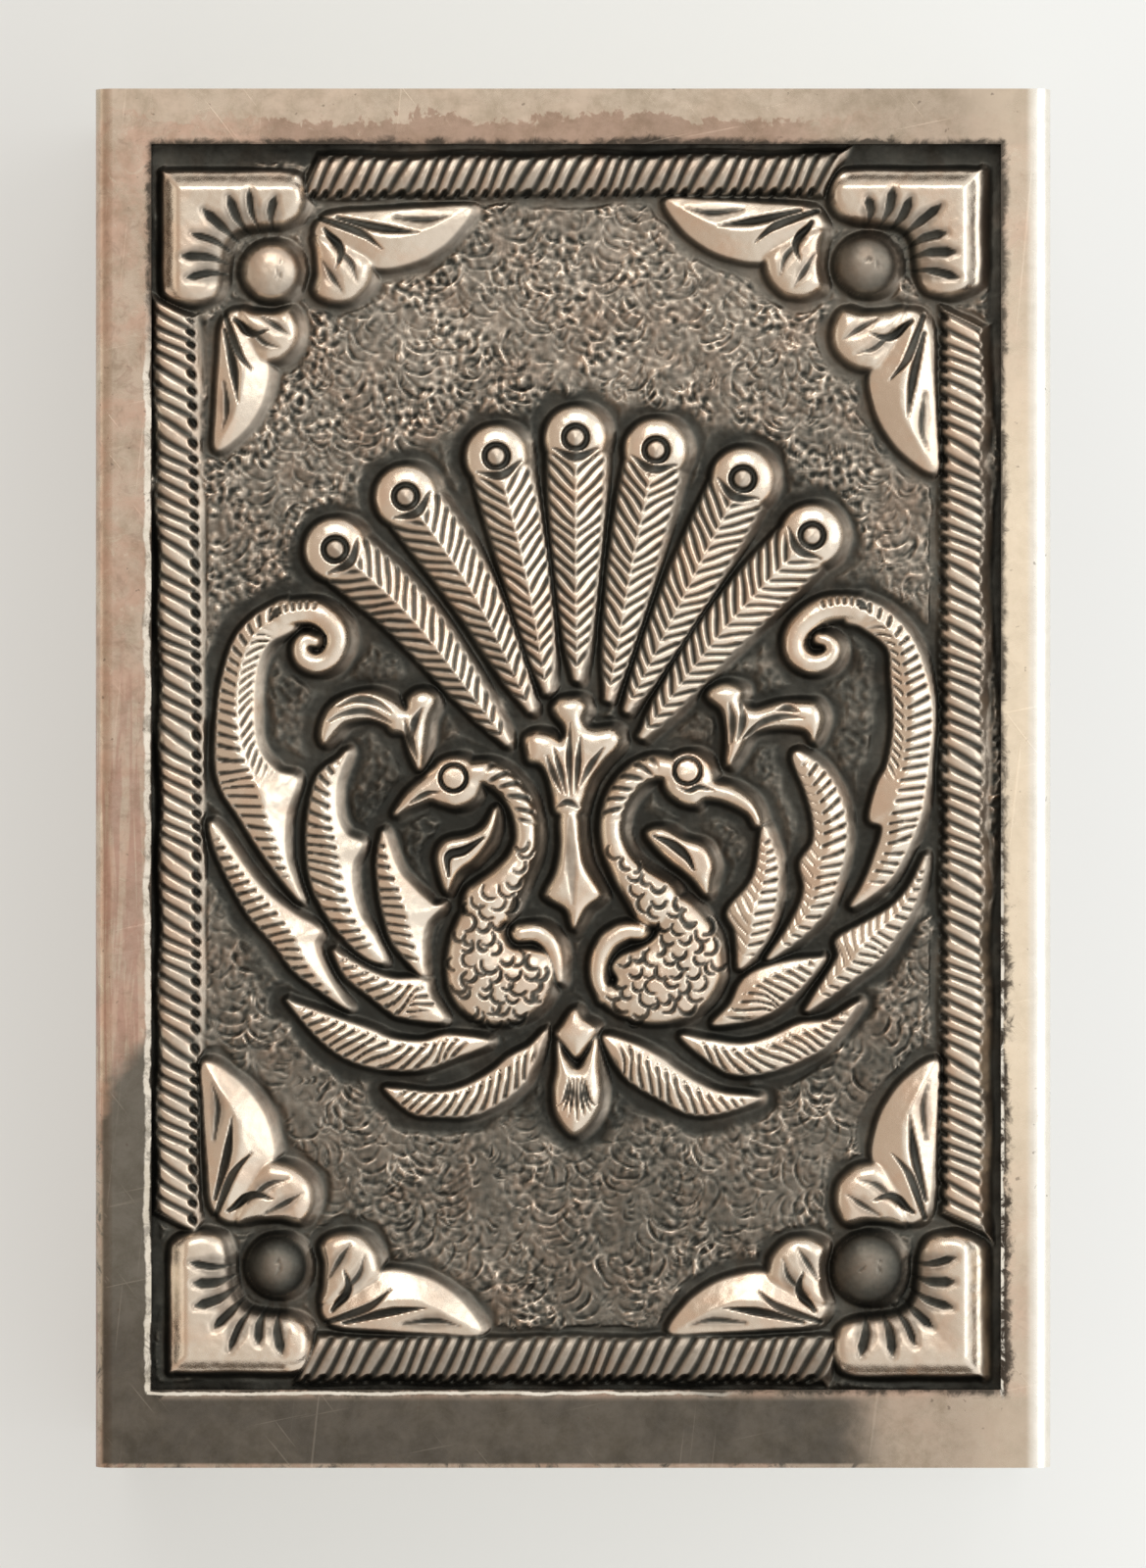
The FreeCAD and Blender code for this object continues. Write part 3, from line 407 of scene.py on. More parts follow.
class ChasedSheet:
    """The chased panel seen from the front: raised forms, tool cuts and the dimming of their tone on a grid:
    tarnish, and painted shade on half of each fan feather.
    """

    def __init__(self, across, upward):
        self.across, self.upward = across, upward
        self.x, self.y = np.meshgrid(across, upward)
        self.cover = np.full(self.x.shape, -9.0)
        self.top = np.zeros(self.x.shape)
        self.cuts = np.zeros(self.x.shape)
        self.dull = np.zeros(self.x.shape)
        self.random = np.random.default_rng(SCATTER_SEED)

    def patch(self, points, margin):
        """The rows and columns of the grid around some points, with their places."""
        low = np.min(points, axis=0) - margin
        high = np.max(points, axis=0) + margin
        rows = slice(*np.searchsorted(self.upward, (low[1], high[1])))
        columns = slice(*np.searchsorted(self.across, (low[0], high[0])))
        return (rows, columns), self.x[rows, columns], self.y[rows, columns]

    def raise_form(self, place, depth, height, dull=0.0):
        """Join a form to the raised work: its depth inside its own edge, its height and how much its tone is
        dimmed: tarnish on most forms, painted shade on the shaded half of each fan feather.
        """
        self.cover[place] = np.maximum(self.cover[place], depth)
        standing = np.where(depth > -2 * WALL_RUN - 0.1, height, 0)
        higher = standing > self.top[place]
        self.top[place] = np.where(higher, standing, self.top[place])
        covered = higher & (depth > -0.05)
        self.dull[place] = np.where(covered, dull, self.dull[place])
        self.cuts[place] = np.where(covered, 0, self.cuts[place])

    def cut(self, place, amount):
        self.cuts[place] = np.maximum(self.cuts[place], amount)

    def leaf(self, outline, ridge, slope, dull=0.0):
        """A form that rises from its outline to a ridge line. Gives what its cuts are placed by."""
        outline = rounded(outline, closed=True)
        place, x, y = self.patch(outline, 1.0)
        depth = depth_inside(x, y, outline)
        away, along, side, length = nearest(x, y, rounded(ridge))
        inside = np.maximum(depth, 0)
        half = inside + away
        share = inside / (half + 1e-6)
        height = EDGE_HEIGHT + slope * np.minimum(half, LEAF_REACH) * share ** 0.85
        self.raise_form(place, depth, height, dull)
        return place, depth, share, along, side * away, length

    def band(self, points, half_widths, crown):
        """A rounded ridge along a line. Gives what its cuts are placed by."""
        line = rounded(points)
        place, x, y = self.patch(line, max(half_widths) + 1.0)
        away, along, side, length = nearest(x, y, line)
        stations = np.linspace(0, 1, len(half_widths))
        half = np.interp(along / length, stations, half_widths)
        depth = half - away
        dome = np.sqrt(np.clip(1 - (away / half) ** 2, 0, 1))
        self.raise_form(place, depth, EDGE_HEIGHT + crown * np.minimum(half / 0.5, 1.2) * dome)
        return place, depth, half, along, side * away, length

    def pillow(self, outline, crown, reach, dull=0.0):
        """A cushion inside an outline, round at its edge and nearly flat in the middle."""
        outline = rounded(outline, closed=True)
        place, x, y = self.patch(outline, 1.0)
        depth = depth_inside(x, y, outline)
        share = np.clip(depth / reach, 0, 1)
        self.raise_form(place, depth, EDGE_HEIGHT + crown * np.sqrt(1 - (1 - share) ** 2), dull)
        return place, depth

    def dome(self, middle, radius, crown, dull=0.0):
        """A round button, rubbed brighter on its top."""
        place, x, y = self.patch([middle], radius + 1.0)
        away = np.hypot(x - middle[0], y - middle[1])
        round_top = np.sqrt(np.clip(1 - (away / radius) ** 2, 0, 1))
        shade = dull * (1.15 - 0.5 * round_top ** 5)
        self.raise_form(place, radius - away, EDGE_HEIGHT + crown * round_top, shade)

    def groove(self, points, width, deep=CUT_DEPTH, ends=(0.3, 0.3), widest=(0.4, 0.6)):
        """A tool line; its ends have these shares of the width that it has over its widest stretch."""
        line = rounded(points)
        place, x, y = self.patch(line, width)
        away, along, _, length = nearest(x, y, line)
        taper = np.interp(along / length, (0, *widest, 1), (ends[0], 1, 1, ends[1]))
        self.cut(place, deep * taper ** 0.5 * np.clip(1.3 - (away / (0.5 * width * taper)) ** 2, 0, 1))

    def ring(self, middle, radius, width=0.24, deep=0.17):
        """The mark of a round punch."""
        place, x, y = self.patch([middle], radius + width)
        away = np.hypot(x - middle[0], y - middle[1])
        self.cut(place, deep * np.clip(1.3 - ((away - radius) / (0.5 * width)) ** 2, 0, 1))

    def arc(self, middle, radius, start, end, width, deep):
        """A curved tool line, from one direction to another in degrees."""
        turns = np.radians(np.linspace(start, end, 5))
        spots = np.stack([middle[0] + radius * np.cos(turns), middle[1] + radius * np.sin(turns)], axis=1)
        self.groove(spots, width, deep, (0.7, 0.7))


def chase_fan(sheet):
    """The fan: roofed feathers with herringbone cuts, and a punched eye at the tip of each."""
    for number, feather in enumerate(FAN_FEATHERS):
        line = rounded(feather)
        eye = np.array(feather[-1])
        place, x, y = sheet.patch(line, 2.3)
        away, along, side, length = nearest(x, y, line)
        half = np.interp(along / length, FAN_SHARES, FAN_HALF_WIDTHS)
        from_eye = np.hypot(x - eye[0], y - eye[1])
        roof = EDGE_HEIGHT + FAN_SLOPE * half * np.clip(1 - away / half, 0, 1) ** 0.9
        # The half of each feather on the left of its line, turned away from the right lamp, is painted
        # darker: painted shade.
        sheet.raise_form(place, half - away, roof, FAN_PAINTED_SHADE * (side > 0))
        button = EDGE_HEIGHT + FAN_CROWN * np.sqrt(np.clip(1 - (from_eye / FAN_HEAD) ** 2, 0, 1))
        sheet.raise_form(place, FAN_HEAD - from_eye, button)
        phase = (along - FAN_LEAN * away) / FAN_PITCH + uneven(along, number)
        where = ease(-0.02, 0.1, away / half) * ease(-0.1, 0.02, half - away) * ease(0.95, 1.1, from_eye)
        where *= ease(0.15, 0.5, along) * (1 - ease(-0.75, -0.55, along - length))
        sharpness = np.where(side > 0, SHADED_HATCH_SHARPNESS, HATCH_SHARPNESS)
        sheet.cut(place, CUT_DEPTH * where * comb(phase, sharpness))
        sheet.ring(eye, EYE_RING)
        sheet.dull[place] = np.where(from_eye < EYE_RING, EYE_SHADE, sheet.dull[place])
        back = (line[-4] - eye) / np.linalg.norm(line[-4] - eye)
        aside = np.array([-back[1], back[0]])
        smile = [eye + 0.42 * back - 0.9 * aside, eye + 0.78 * back, eye + 0.42 * back + 0.9 * aside]
        sheet.groove(smile, 0.36, 0.15)


def chase_scrolls(sheet):
    """The two scrolls: a hatched body and a curl each."""
    for number, (outer, inner, ridge, curl) in enumerate(SCROLLS):
        place, depth, share, along, offset, length = sheet.leaf(outer + inner[::-1], ridge, SCROLL_SLOPE)
        outside = offset if number else -offset
        row = along / FEATHER_PITCH + uneven(along, number)
        clear = ease(0.02, 0.1, depth) * (1 - ease(0.84, 0.96, share))
        clear *= 1 - ease(0.88, 0.96, along / length)
        phase = row + SCROLL_LEAN * np.abs(offset) / FEATHER_PITCH
        sharpness = LIT_HATCH_SHARPNESS if number else HATCH_SHARPNESS
        sheet.cut(place, CUT_DEPTH * clear * (outside > 0) * comb(phase, sharpness))
        upper = clear * (1 - ease(0.56, 0.62, along / length)) * ease(0.06, 0.12, along / length)
        phase = row + SCROLL_INNER_LEAN * np.abs(offset) / FEATHER_PITCH
        sheet.cut(place, 0.9 * CUT_DEPTH * upper * (outside < 0) * comb(phase, HATCH_SHARPNESS))
        place, depth, _, along, offset, length = sheet.band(curl, CURL_HALF_WIDTHS, CURL_CROWN)
        outside = offset if number == 0 else -offset
        start = (1 - ease(0.2, 0.26, along / length)) * ease(0.02, 0.1, depth) * (outside > 0.1)
        sheet.cut(place, CUT_DEPTH * start * comb(along / CURL_PITCH, 2))


def chase_side_feathers(sheet):
    """The barbed feathers beside the birds, and the low ones under them."""
    for number, (outer, inner, ridge) in enumerate(BARBED_FEATHERS):
        place, depth, share, along, offset, length = sheet.leaf(outer + inner[::-1], ridge, BARBED_SLOPE)
        on_right = outer[1][0] > 0
        outside = offset if on_right else -offset
        phase = (along + BARBED_LEAN * outside) / FEATHER_PITCH + uneven(along, number)
        where = ease(-0.04, 0.04, depth) * (1 - ease(0.84, 0.97, share))
        where *= ease(0.02, 0.06, along / length) * (1 - ease(0.88, 0.96, along / length))
        sharpness = LIT_HATCH_SHARPNESS if on_right else HATCH_SHARPNESS
        sheet.cut(place, CUT_DEPTH * where * (outside > 0) * comb(phase, sharpness))
        if on_right:
            phase = (along - BARBED_INNER_LEAN * outside) / FEATHER_PITCH + uneven(along, number)
            sheet.cut(place, 0.5 * CUT_DEPTH * where * (outside < 0) * comb(phase, sharpness))
    for number, (outer, inner, ridge) in enumerate(LOW_FEATHERS):
        place, depth, share, along, offset, length = sheet.leaf(outer + inner[::-1], ridge, LOW_FEATHER_SLOPE)
        outside = -offset if outer[1][0] < 0 else offset
        phase = (along + LOW_FEATHER_LEAN * outside) / LOW_FEATHER_PITCH + uneven(along, number)
        where = ease(-0.02, 0.06, depth) * (1 - ease(0.84, 0.97, share)) * (outside > -0.05)
        where *= ease(0.03, 0.08, along / length) * (1 - ease(0.86, 0.94, along / length))
        sheet.cut(place, CUT_DEPTH * where * comb(phase, HATCH_SHARPNESS))


def chase_stem(sheet):
    """The sprigs over the birds, the stem between them and the bud below."""
    for outline, grooves in SPRIGS:
        sheet.pillow(outline, 0.4, 0.5)
        for line in grooves:
            sheet.groove(line, 0.32, 0.13)
    sheet.pillow(TREFOIL, 0.42, 0.55)
    sheet.pillow(SHAFT, 0.42, 0.45)
    for line in STEM_GROOVES:
        sheet.groove(line, 0.28, 0.13)
    sheet.groove(SHAFT_GROOVE, 0.5, 0.06)
    sheet.pillow(BUD_TOP, 0.3, 0.5)
    sheet.pillow(BUD_LOW, 0.45, 0.7)
    middle, root = BUD_ROOT
    for turn in range(-3, 4):
        reach = 1.9 - 0.12 * abs(turn)
        lean = 0.17 * turn
        tip = (middle + reach * math.sin(lean), root - reach * math.cos(lean))
        halfway = (0.5 * (middle + tip[0]) + 0.03 * turn, root - 1.0)
        sheet.groove([(middle + 0.1 * turn, root - 0.25), halfway, tip], 0.15)


def chase_birds(sheet):
    """Both birds, with the cuts round their necks and the scales on their bodies."""
    for number, bird in enumerate(BIRDS):
        sheet.dome(bird["head"], HEAD_RADIUS, 0.45)
        sheet.pillow(bird["beak"], 0.4, 0.5)
        place, depth, half, along, offset, length = sheet.band(bird["neck"], NECK_HALF_WIDTHS, 0.5)
        sheet.pillow(bird["body"], 0.6, 1.7, BODY_SHADE)
        sheet.band(bird["tail"], bird["tail_widths"], 0.42)
        sheet.pillow(bird["wing"], 0.36, 0.35)
        sheet.ring(bird["eye"], EYE_RING + 0.06, 0.19)
        sheet.groove(bird["mouth"], 0.22)
        sheet.groove(bird["hollow"], 0.36, 0.2)
        outside = -offset if number else offset
        phase = (along - NECK_LEAN * outside) / NECK_PITCH + uneven(along, number)
        where = ease(-0.02, 0.06, depth) * ease(0.06, 0.1, along / length)
        where *= 1 - ease(0.44, 0.5, along / length)
        sheet.cut(place, 0.15 * where * ease(-0.9, -0.3, outside / half) * comb(phase, 2.2))
        scale_body(sheet, bird)


def scale_body(sheet, bird):
    """Scale marks over the lower neck and the body, in loose rows."""
    outline = rounded(bird["body"], closed=True)
    neck = rounded(bird["neck"])
    stations = np.linspace(0, 1, len(NECK_HALF_WIDTHS))
    low, high = outline.min(axis=0), outline.max(axis=0)
    for row, y in enumerate(np.arange(low[1] + 0.2, high[1] + 2.2, SCALE_ROW)):
        for x in np.arange(low[0] + 0.1, high[0] + 1.2, SCALE_STEP):
            spot = np.array([x + 0.5 * SCALE_STEP * (row % 2), y])
            spot = spot + sheet.random.uniform(-SCALE_SHAKE, SCALE_SHAKE, 2)
            turn = sheet.random.uniform(-SCALE_TURN, SCALE_TURN)
            in_body = depth_inside(spot[:1], spot[1:], outline)[0] > 0.1
            away, along, _, length = nearest(spot[:1], spot[1:], neck)
            half = np.interp(along[0] / length, stations, NECK_HALF_WIDTHS)
            on_neck = away[0] < half - 0.2 and 0.5 < along[0] / length
            if in_body or on_neck:
                radius, width = sheet.random.uniform(SMALL_SCALE, LARGE_SCALE)
                sheet.arc(spot, radius, 190 + turn, 350 + turn, width, 0.12)


def raise_shell(sheet, boss, reach):
    """A corner shell: a sloping frame on its two straight sides, and a fluted scoop down to the boss."""
    outline = rounded([boss + reach * point for point in SHELL], closed=True)
    place, x, y = sheet.patch(outline, 1.0)
    depth = depth_inside(x, y, outline)
    sides = np.sign(reach)
    room = np.abs(reach)
    from_corner = np.minimum(room[0] - sides[0] * (x - boss[0]), room[1] - sides[1] * (y - boss[1]))
    frame_rise = np.clip(from_corner / SHELL_FRAME, 0, 1)
    scoop = ease(SHELL_FRAME, 3.2, from_corner)
    share = np.clip(depth / 0.5, 0, 1)
    height = EDGE_HEIGHT + (SHELL_RISE * frame_rise - SHELL_SCOOP * scoop) * np.sqrt(1 - (1 - share) ** 2)
    sheet.raise_form(place, depth, height, SHELL_SHADE * ease(0.55, 0.9, from_corner))
    corner_way = math.atan2(reach[1], reach[0])
    for turn in range(-3, 4):
        lean = corner_way + math.radians(FLUTE_TURN * turn + sheet.random.uniform(-2.5, 2.5))
        way = np.array([math.cos(lean), math.sin(lean)])
        end = min(FLUTE_END, *((room - SHELL_FRAME - 0.1) / np.maximum(np.abs(way), 0.01)))
        end *= sheet.random.uniform(0.86, 1.0)
        flute = [boss + reach_out * way for reach_out in (FLUTE_START, 0.5 * (FLUTE_START + end), end)]
        flute[1] = flute[1] - FLUTE_BEND * np.sign(turn) * np.array([-way[1], way[0]])
        sheet.groove(flute, sheet.random.uniform(0.28, 0.44), 0.16, (0.12, 0.4), (0.55, 0.85))
        # A broad shallow dip along each flute; its darkening in the tone paints brown shade down the flute.
        sheet.groove(flute, FLUTE_WIDTH, FLUTE_SHADE_DIP, (0.5, 0.5))


def chase_corners(sheet):
    """The corner flowers: a nicked boss, a shell and two lobed leaves each."""
    for boss, radius, reach, first_tip, second_tip, dull in CORNERS:
        boss, reach = np.array(boss), np.array(reach)
        sheet.dome(boss, radius, 0.6, dull)
        for nick in sheet.random.uniform(-0.45, 0.45, (3, 2)):
            line = [boss + nick, boss + 0.8 * nick + (0.1, 0.1), boss + 0.6 * nick + (0.15, 0.25)]
            sheet.groove(line, 0.12, 0.04)
        raise_shell(sheet, boss, reach)
        for tip, upright in ((first_tip, False), (second_tip, True)):
            span = np.array(tip) - boss

            def from_boss(points):
                return [boss + span * (point[::-1] if upright else point) for point in points]

            sheet.leaf(from_boss(BLADE), from_boss(BLADE_RIDGE), 0.5, dull=PETAL_SHADE)
            sheet.pillow(from_boss(LOBE), 0.42, 0.7, PETAL_SHADE)
            for line in LEAF_GROOVES:
                sheet.groove(from_boss(line), 0.34, 0.17, (0.5, 0.15))
            for line in LEAF_LINES:
                sheet.groove(from_boss(line), 0.24, 0.12, (0.4, 0.15))
                sheet.groove(from_boss(line), 0.7, 0.04, (0.4, 0.3))


def chase_ropes(sheet):
    """The four rope borders, each with a row of dots along one side."""
    for number, (start, end, bow, half, pitch, lean, dot_side, dull) in enumerate(ROPES):
        start, end = np.array(start), np.array(end)
        length = np.linalg.norm(end - start)
        way = (end - start) / length
        place, x, y = sheet.patch([start, end], 1.3)
        along = (x - start[0]) * way[0] + (y - start[1]) * way[1]
        offset = (y - start[1]) * way[0] - (x - start[0]) * way[1]
        offset = offset + bow * np.sin(np.pi * along / length)
        ends = np.minimum(along, length - along) + lean * offset * np.sign(0.5 * length - along)
        depth = np.minimum(half + 0.05 * np.sin(1.3 * along + number) - np.abs(offset), ends)
        dome = np.sqrt(np.clip(1 - (offset / half) ** 2, 0, 1))
        sheet.raise_form(place, depth, EDGE_HEIGHT - ROPE_SINK + ROPE_CROWN * dome, dull)
        phase = (along + lean * offset) / pitch + 1.5 * uneven(0.6 * along, number)
        sheet.cut(place, CUT_DEPTH * comb(phase, 2.5) * ease(-0.06, 0.04, depth))
        near_dots = np.clip(1.2 - ((offset - dot_side * half) / 0.17) ** 2, 0, 1) * (ends > 0)
        sheet.cut(place, DOT_DEPTH * near_dots * comb(phase + 0.25, 2))


def punch_rows(sheet, cuts, burrs, shake, row_step, punch_step, count, radii, weights, end_burr):
    """Short wandering rows of ragged crescent punch marks, with burrs beside each cut and at its ends."""
    for y in np.arange(WINDOW_LOW, WINDOW_HIGH, row_step):
        for x in np.arange(WINDOW_LEFT, WINDOW_RIGHT, row_step):
            spot = np.array([x, y]) + sheet.random.uniform(-0.5, 0.5, 2) * row_step
            way = sheet.random.normal(-1.5, 0.5)
            for turn in sheet.random.normal(0, 0.28, count):
                way += turn
                spot = spot + punch_step * np.array([math.cos(way), math.sin(way)])
                spot = spot + sheet.random.normal(0, 0.06, 2)
                radius = sheet.random.uniform(*radii)
                weight = sheet.random.uniform(*weights)
                place, right, up = sheet.patch([spot], radius + 0.3)
                right = right + shake[0][place] - spot[0]
                up = up + shake[1][place] - spot[1]
                ahead = right * math.cos(way) + up * math.sin(way)
                aside = up * math.cos(way) - right * math.sin(way)
                line = np.hypot(ahead + radius, aside) - radius
                reach = 0.8 * radius + 0.07
                past_reach = np.abs(aside) - reach
                on_mark = weight * (ahead > -radius)
                inside = on_mark * np.exp(-(aside / reach) ** 4)
                beside = inside * np.exp(-((line - BURR_AWAY) / BURR_HALF_WIDTH) ** 2)
                ends = end_burr * on_mark * np.exp(-(past_reach / 0.07) ** 2 - (line / 0.25) ** 2)
                cuts[place] = np.maximum(cuts[place], inside * np.exp(-(line / PUNCH_HALF_WIDTH) ** 2))
                burrs[place] = np.maximum(burrs[place], np.maximum(beside, ends))


def mat_ground(sheet):
    """The matted ground: rows of a broad punch, and rows of a narrow one among them."""
    cuts = np.zeros(sheet.x.shape)
    burrs = np.zeros(sheet.x.shape)
    shake = [PUNCH_SHAKE * scattered(sheet, 3, 0) for _ in range(2)]
    slight_shake = [BROAD_SHAKE_SHARE * way for way in shake]
    punch_rows(sheet, cuts, burrs, slight_shake, *BROAD_PUNCH)
    punch_rows(sheet, cuts, burrs, shake, *NARROW_PUNCH)
    broken = ease(-0.6, 0.8, scattered(sheet, 2, 0))
    return cuts * (0.4 + 0.6 * broken), burrs * (0.2 + 0.8 * broken)


def scattered(sheet, fine, coarse):
    """Noise between two sizes of cell, with a spread of one."""
    noise = blurred(sheet.random.normal(0, 1, sheet.x.shape), fine)
    if coarse:
        noise = noise - blurred(noise, coarse)
    return noise / noise.std()


def heights_tarnish_and_painted_light(sheet):
    """The finished surface: height above the ground, and how dark each place is: tarnish, with painted
    highlights on the walls that face the lamp, painted shade on half of each fan feather and in the broad
    dips of the shell flutes.
    """
    x, y = sheet.x, sheet.y
    outside = -sheet.cover
    field = depth_inside(x, y, rounded(FIELD, closed=True))
    rough, crinkle, cloud = scattered(sheet, 1, 0), scattered(sheet, 1, 4), scattered(sheet, 24, 0)
    ragged = scattered(sheet, 5, 0)
    speckle = scattered(sheet, 1, 2) * (0.35 + 0.65 * ease(-0.8, 0.8, scattered(sheet, 9, 0)))
    speckle *= 0.5 + 0.5 * ease(-12, 4, y)
    from_side = np.minimum(x - WINDOW_LEFT, WINDOW_RIGHT - x)
    from_rim = np.minimum(from_side, np.minimum(y - WINDOW_LOW, WINDOW_HIGH - TOP_STRIP - y))
    border = 1 - ease(BORDER_NEAR, BORDER_FAR, from_rim + 0.1 * cloud)
    in_field, by_field = ease(-0.3, 0.3, field), ease(-1.2, -0.4, field)
    trench_way = outside * (1.3 - 0.3 * by_field)
    trench = 1 - ease(TRENCH_NEAR, TRENCH_FAR, trench_way + 0.06 * cloud + 0.13 * ragged)
    hollowed = np.maximum(trench, border)
    textured = (1 - hollowed) * (1 - 0.8 * in_field)
    crinkled = crinkle * in_field * (1 - hollowed)
    marks, burrs = mat_ground(sheet)
    burrs *= 0.5 + 0.9 * ease(-0.3, 1.3, ragged)
    ground = 0.02 * cloud + 0.016 * ragged - TRENCH_DEPTH * hollowed + 0.004 * rough
    ground += textured * (0.024 * speckle - 0.1 * marks + 0.07 * burrs) + 0.018 * crinkled
    facing_right = np.clip(-np.gradient(sheet.cover, sheet.across, axis=1), 0, 1)
    rise = ease(-WALL_RUN * (1 + 0.9 * facing_right), EDGE_ROUND, sheet.cover)
    standing = (sheet.top > 0).astype(float)
    top = blurred(sheet.top, 1) / np.maximum(blurred(standing, 1), 0.01)
    height = ground + (top - ground) * rise - sheet.cuts + 0.003 * rough * rise
    hollow = np.clip(blurred(height, 4) - height, 0, 0.2)
    darkening = np.maximum(hollowed * (0.55 + 0.45 * np.maximum(by_field, border)), 0.55 * in_field)
    # The ground's tone also runs darker towards the bottom.
    tone_ground = GROUND_TONE + (1 - GROUND_TONE) * darkening + 0.03 * cloud + 0.03 * ragged - 0.003 * y
    tone_ground += textured * (0.44 * marks - 0.58 * burrs - 0.21 * speckle) - 0.05 * crinkled
    tone_top = TOP_TONE + sheet.dull + 0.025 * cloud
    # Walls that face the right lamp get a lighter tone, and the bright tone of the tops reaches further down
    # them: painted highlight. The tops themselves are bare polished silver.
    painted_lit_wall = facing_right * ease(-0.52, -0.25, sheet.cover)
    bare_tops_and_lit_walls = ease(-0.13 + 0.07 * facing_right, 0.12 - 0.05 * facing_right, sheet.cover)
    tarnish = tone_ground + (PAINTED_WALL_LIGHT_TONE - tone_ground) * painted_lit_wall
    tarnish += (tone_top - tarnish) * bare_tops_and_lit_walls
    # Every cut darkens the tone: black oxide in the narrow tool cuts, and painted shade in the broad shallow
    # dips beside the shell flutes.
    tarnish += 0.85 * np.clip(sheet.cuts / CUT_DEPTH, 0, 1) * (1 - tarnish) + 1.4 * hollow * rise
    return height, np.clip(tarnish, 0, 1)


def select_only(piece):
    bpy.ops.object.select_all(action="DESELECT")
    piece.select_set(True)
    bpy.context.view_layer.objects.active = piece


def grid_steps(low, high, outer_low, outer_high):
    """Places along one way of the panel: fine in the window and one step out to the panel's edge."""
    count = int(round((high - low) / GRID_CELL)) + 1
    return np.concatenate([[outer_low], np.linspace(low, high, count), [outer_high]])


def panel_band(name, across, upward, height, tarnish, back):
    """One band of the panel as a closed plate with the chased surface on its front."""
    bpy.ops.object.select_all(action="DESELECT")
    bpy.ops.mesh.primitive_grid_add(x_subdivisions=len(across) - 1, y_subdivisions=len(upward) - 1, size=2)
    plate = bpy.context.object
    plate.name = name
    mesh = plate.data
    count = len(mesh.vertices)
    flat = np.empty(count * 3)
    mesh.vertices.foreach_get("co", flat)
    flat = flat.reshape(-1, 3)
    column = np.rint((flat[:, 0] + 1) / 2 * (len(across) - 1)).astype(int)
    row = np.rint((flat[:, 1] + 1) / 2 * (len(upward) - 1)).astype(int)
    slope_y, slope_x = np.gradient(height, upward, across)
    places = np.stack([across[column], upward[row], height[row, column]], axis=1) * MM
    mesh.vertices.foreach_set("co", places.ravel())
    facing = np.stack([-slope_x, -slope_y, np.ones_like(slope_x)], axis=2)
    facing /= np.linalg.norm(facing, axis=2, keepdims=True)
    top_faces = len(mesh.polygons)

    bpy.ops.object.mode_set(mode="EDIT")
    bpy.ops.mesh.select_mode(type="EDGE")
    bpy.ops.mesh.select_all(action="DESELECT")
    bpy.ops.mesh.select_non_manifold(
        use_wire=False, use_multi_face=False, use_non_contiguous=False, use_verts=False)
    bpy.ops.mesh.extrude_edges_move()
    bpy.ops.object.mode_set(mode="OBJECT")
    for vertex in mesh.vertices:
        if vertex.select:
            vertex.co.z = back * MM
    bpy.ops.object.mode_set(mode="EDIT")
    bpy.ops.mesh.edge_face_add()
    bpy.ops.mesh.select_all(action="SELECT")
    bpy.ops.mesh.normals_make_consistent(inside=False)
    bpy.ops.object.mode_set(mode="OBJECT")
    bpy.ops.object.shade_smooth()

    corner_vertex = np.empty(len(mesh.loops), int)
    mesh.loops.foreach_get("vertex_index", corner_vertex)
    face_normal = np.empty(len(mesh.polygons) * 3)
    mesh.polygons.foreach_get("normal", face_normal)
    face_size = np.empty(len(mesh.polygons), int)
    mesh.polygons.foreach_get("loop_total", face_size)
    normals = np.repeat(face_normal.reshape(-1, 3), face_size, axis=0)
    top_corners = int(face_size[:top_faces].sum())
    on_top = corner_vertex[:top_corners]
    normals[:top_corners] = facing[row[on_top], column[on_top]]
    mesh.normals_split_custom_set(normals.tolist())

    tone = np.ones(len(mesh.vertices))
    tone[:count] = tarnish[row, column]
    mesh.attributes.new("tarnish", "FLOAT", "POINT").data.foreach_set("value", tone)
    return plate


def chase_panel():
    """The whole chased panel, as bands that meet edge to edge."""
    low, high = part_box("embossed_panel")
    left, bottom, back = (place / MM for place in low)
    right, top, _ = (place / MM for place in high)
    across = grid_steps(WINDOW_LEFT - UNDER_RIM, WINDOW_RIGHT + UNDER_RIM, left, right)
    upward = grid_steps(WINDOW_LOW - UNDER_RIM, WINDOW_HIGH + UNDER_RIM, bottom, top)
    sheet = ChasedSheet(across, upward)
    chase_fan(sheet)
    chase_scrolls(sheet)
    chase_side_feathers(sheet)
    chase_stem(sheet)
    chase_birds(sheet)
    chase_ropes(sheet)
    chase_corners(sheet)
    height, tarnish = heights_tarnish_and_painted_light(sheet)
    lifted = height + FRONT_LEVEL - GROUND_DROP
    edges = np.linspace(0, len(upward) - 1, len(PANEL_BANDS) + 1).astype(int)
    bands = []
    for name, first, last in zip(PANEL_BANDS, edges, edges[1:]):
        rows = slice(first, last + 1)
        bands.append(panel_band(name, across, upward[rows], lifted[rows], tarnish[rows], back))
    return bands


class Value:
    """A number in a shader, with arithmetic."""

    def __init__(self, finish, socket):
        self.finish, self.socket = finish, socket

    def math(self, operation, first, second=None):
        sockets = {0: first} if second is None else {0: first, 1: second}
        return self.finish.value("ShaderNodeMath", {"operation": operation}, sockets)

    def __add__(self, other):
        return self.math("ADD", self, other)

    def __radd__(self, other):
        return self.math("ADD", other, self)

    def __sub__(self, other):
        return self.math("SUBTRACT", self, other)

    def __rsub__(self, other):
        return self.math("SUBTRACT", other, self)

    def __mul__(self, other):
        return self.math("MULTIPLY", self, other)

    def __rmul__(self, other):
        return self.math("MULTIPLY", other, self)

    def larger(self, other):
        return self.math("MAXIMUM", self, other)

    def size(self):
        return self.math("ABSOLUTE", self)

    def between(self, low, high):
        """0 below low, 1 above high and a smooth rise between."""
        settings = {"interpolation_type": "SMOOTHSTEP"}
        return self.finish.value("ShaderNodeMapRange", settings, {0: self, 1: low, 2: high, 3: 0.0, 4: 1.0})


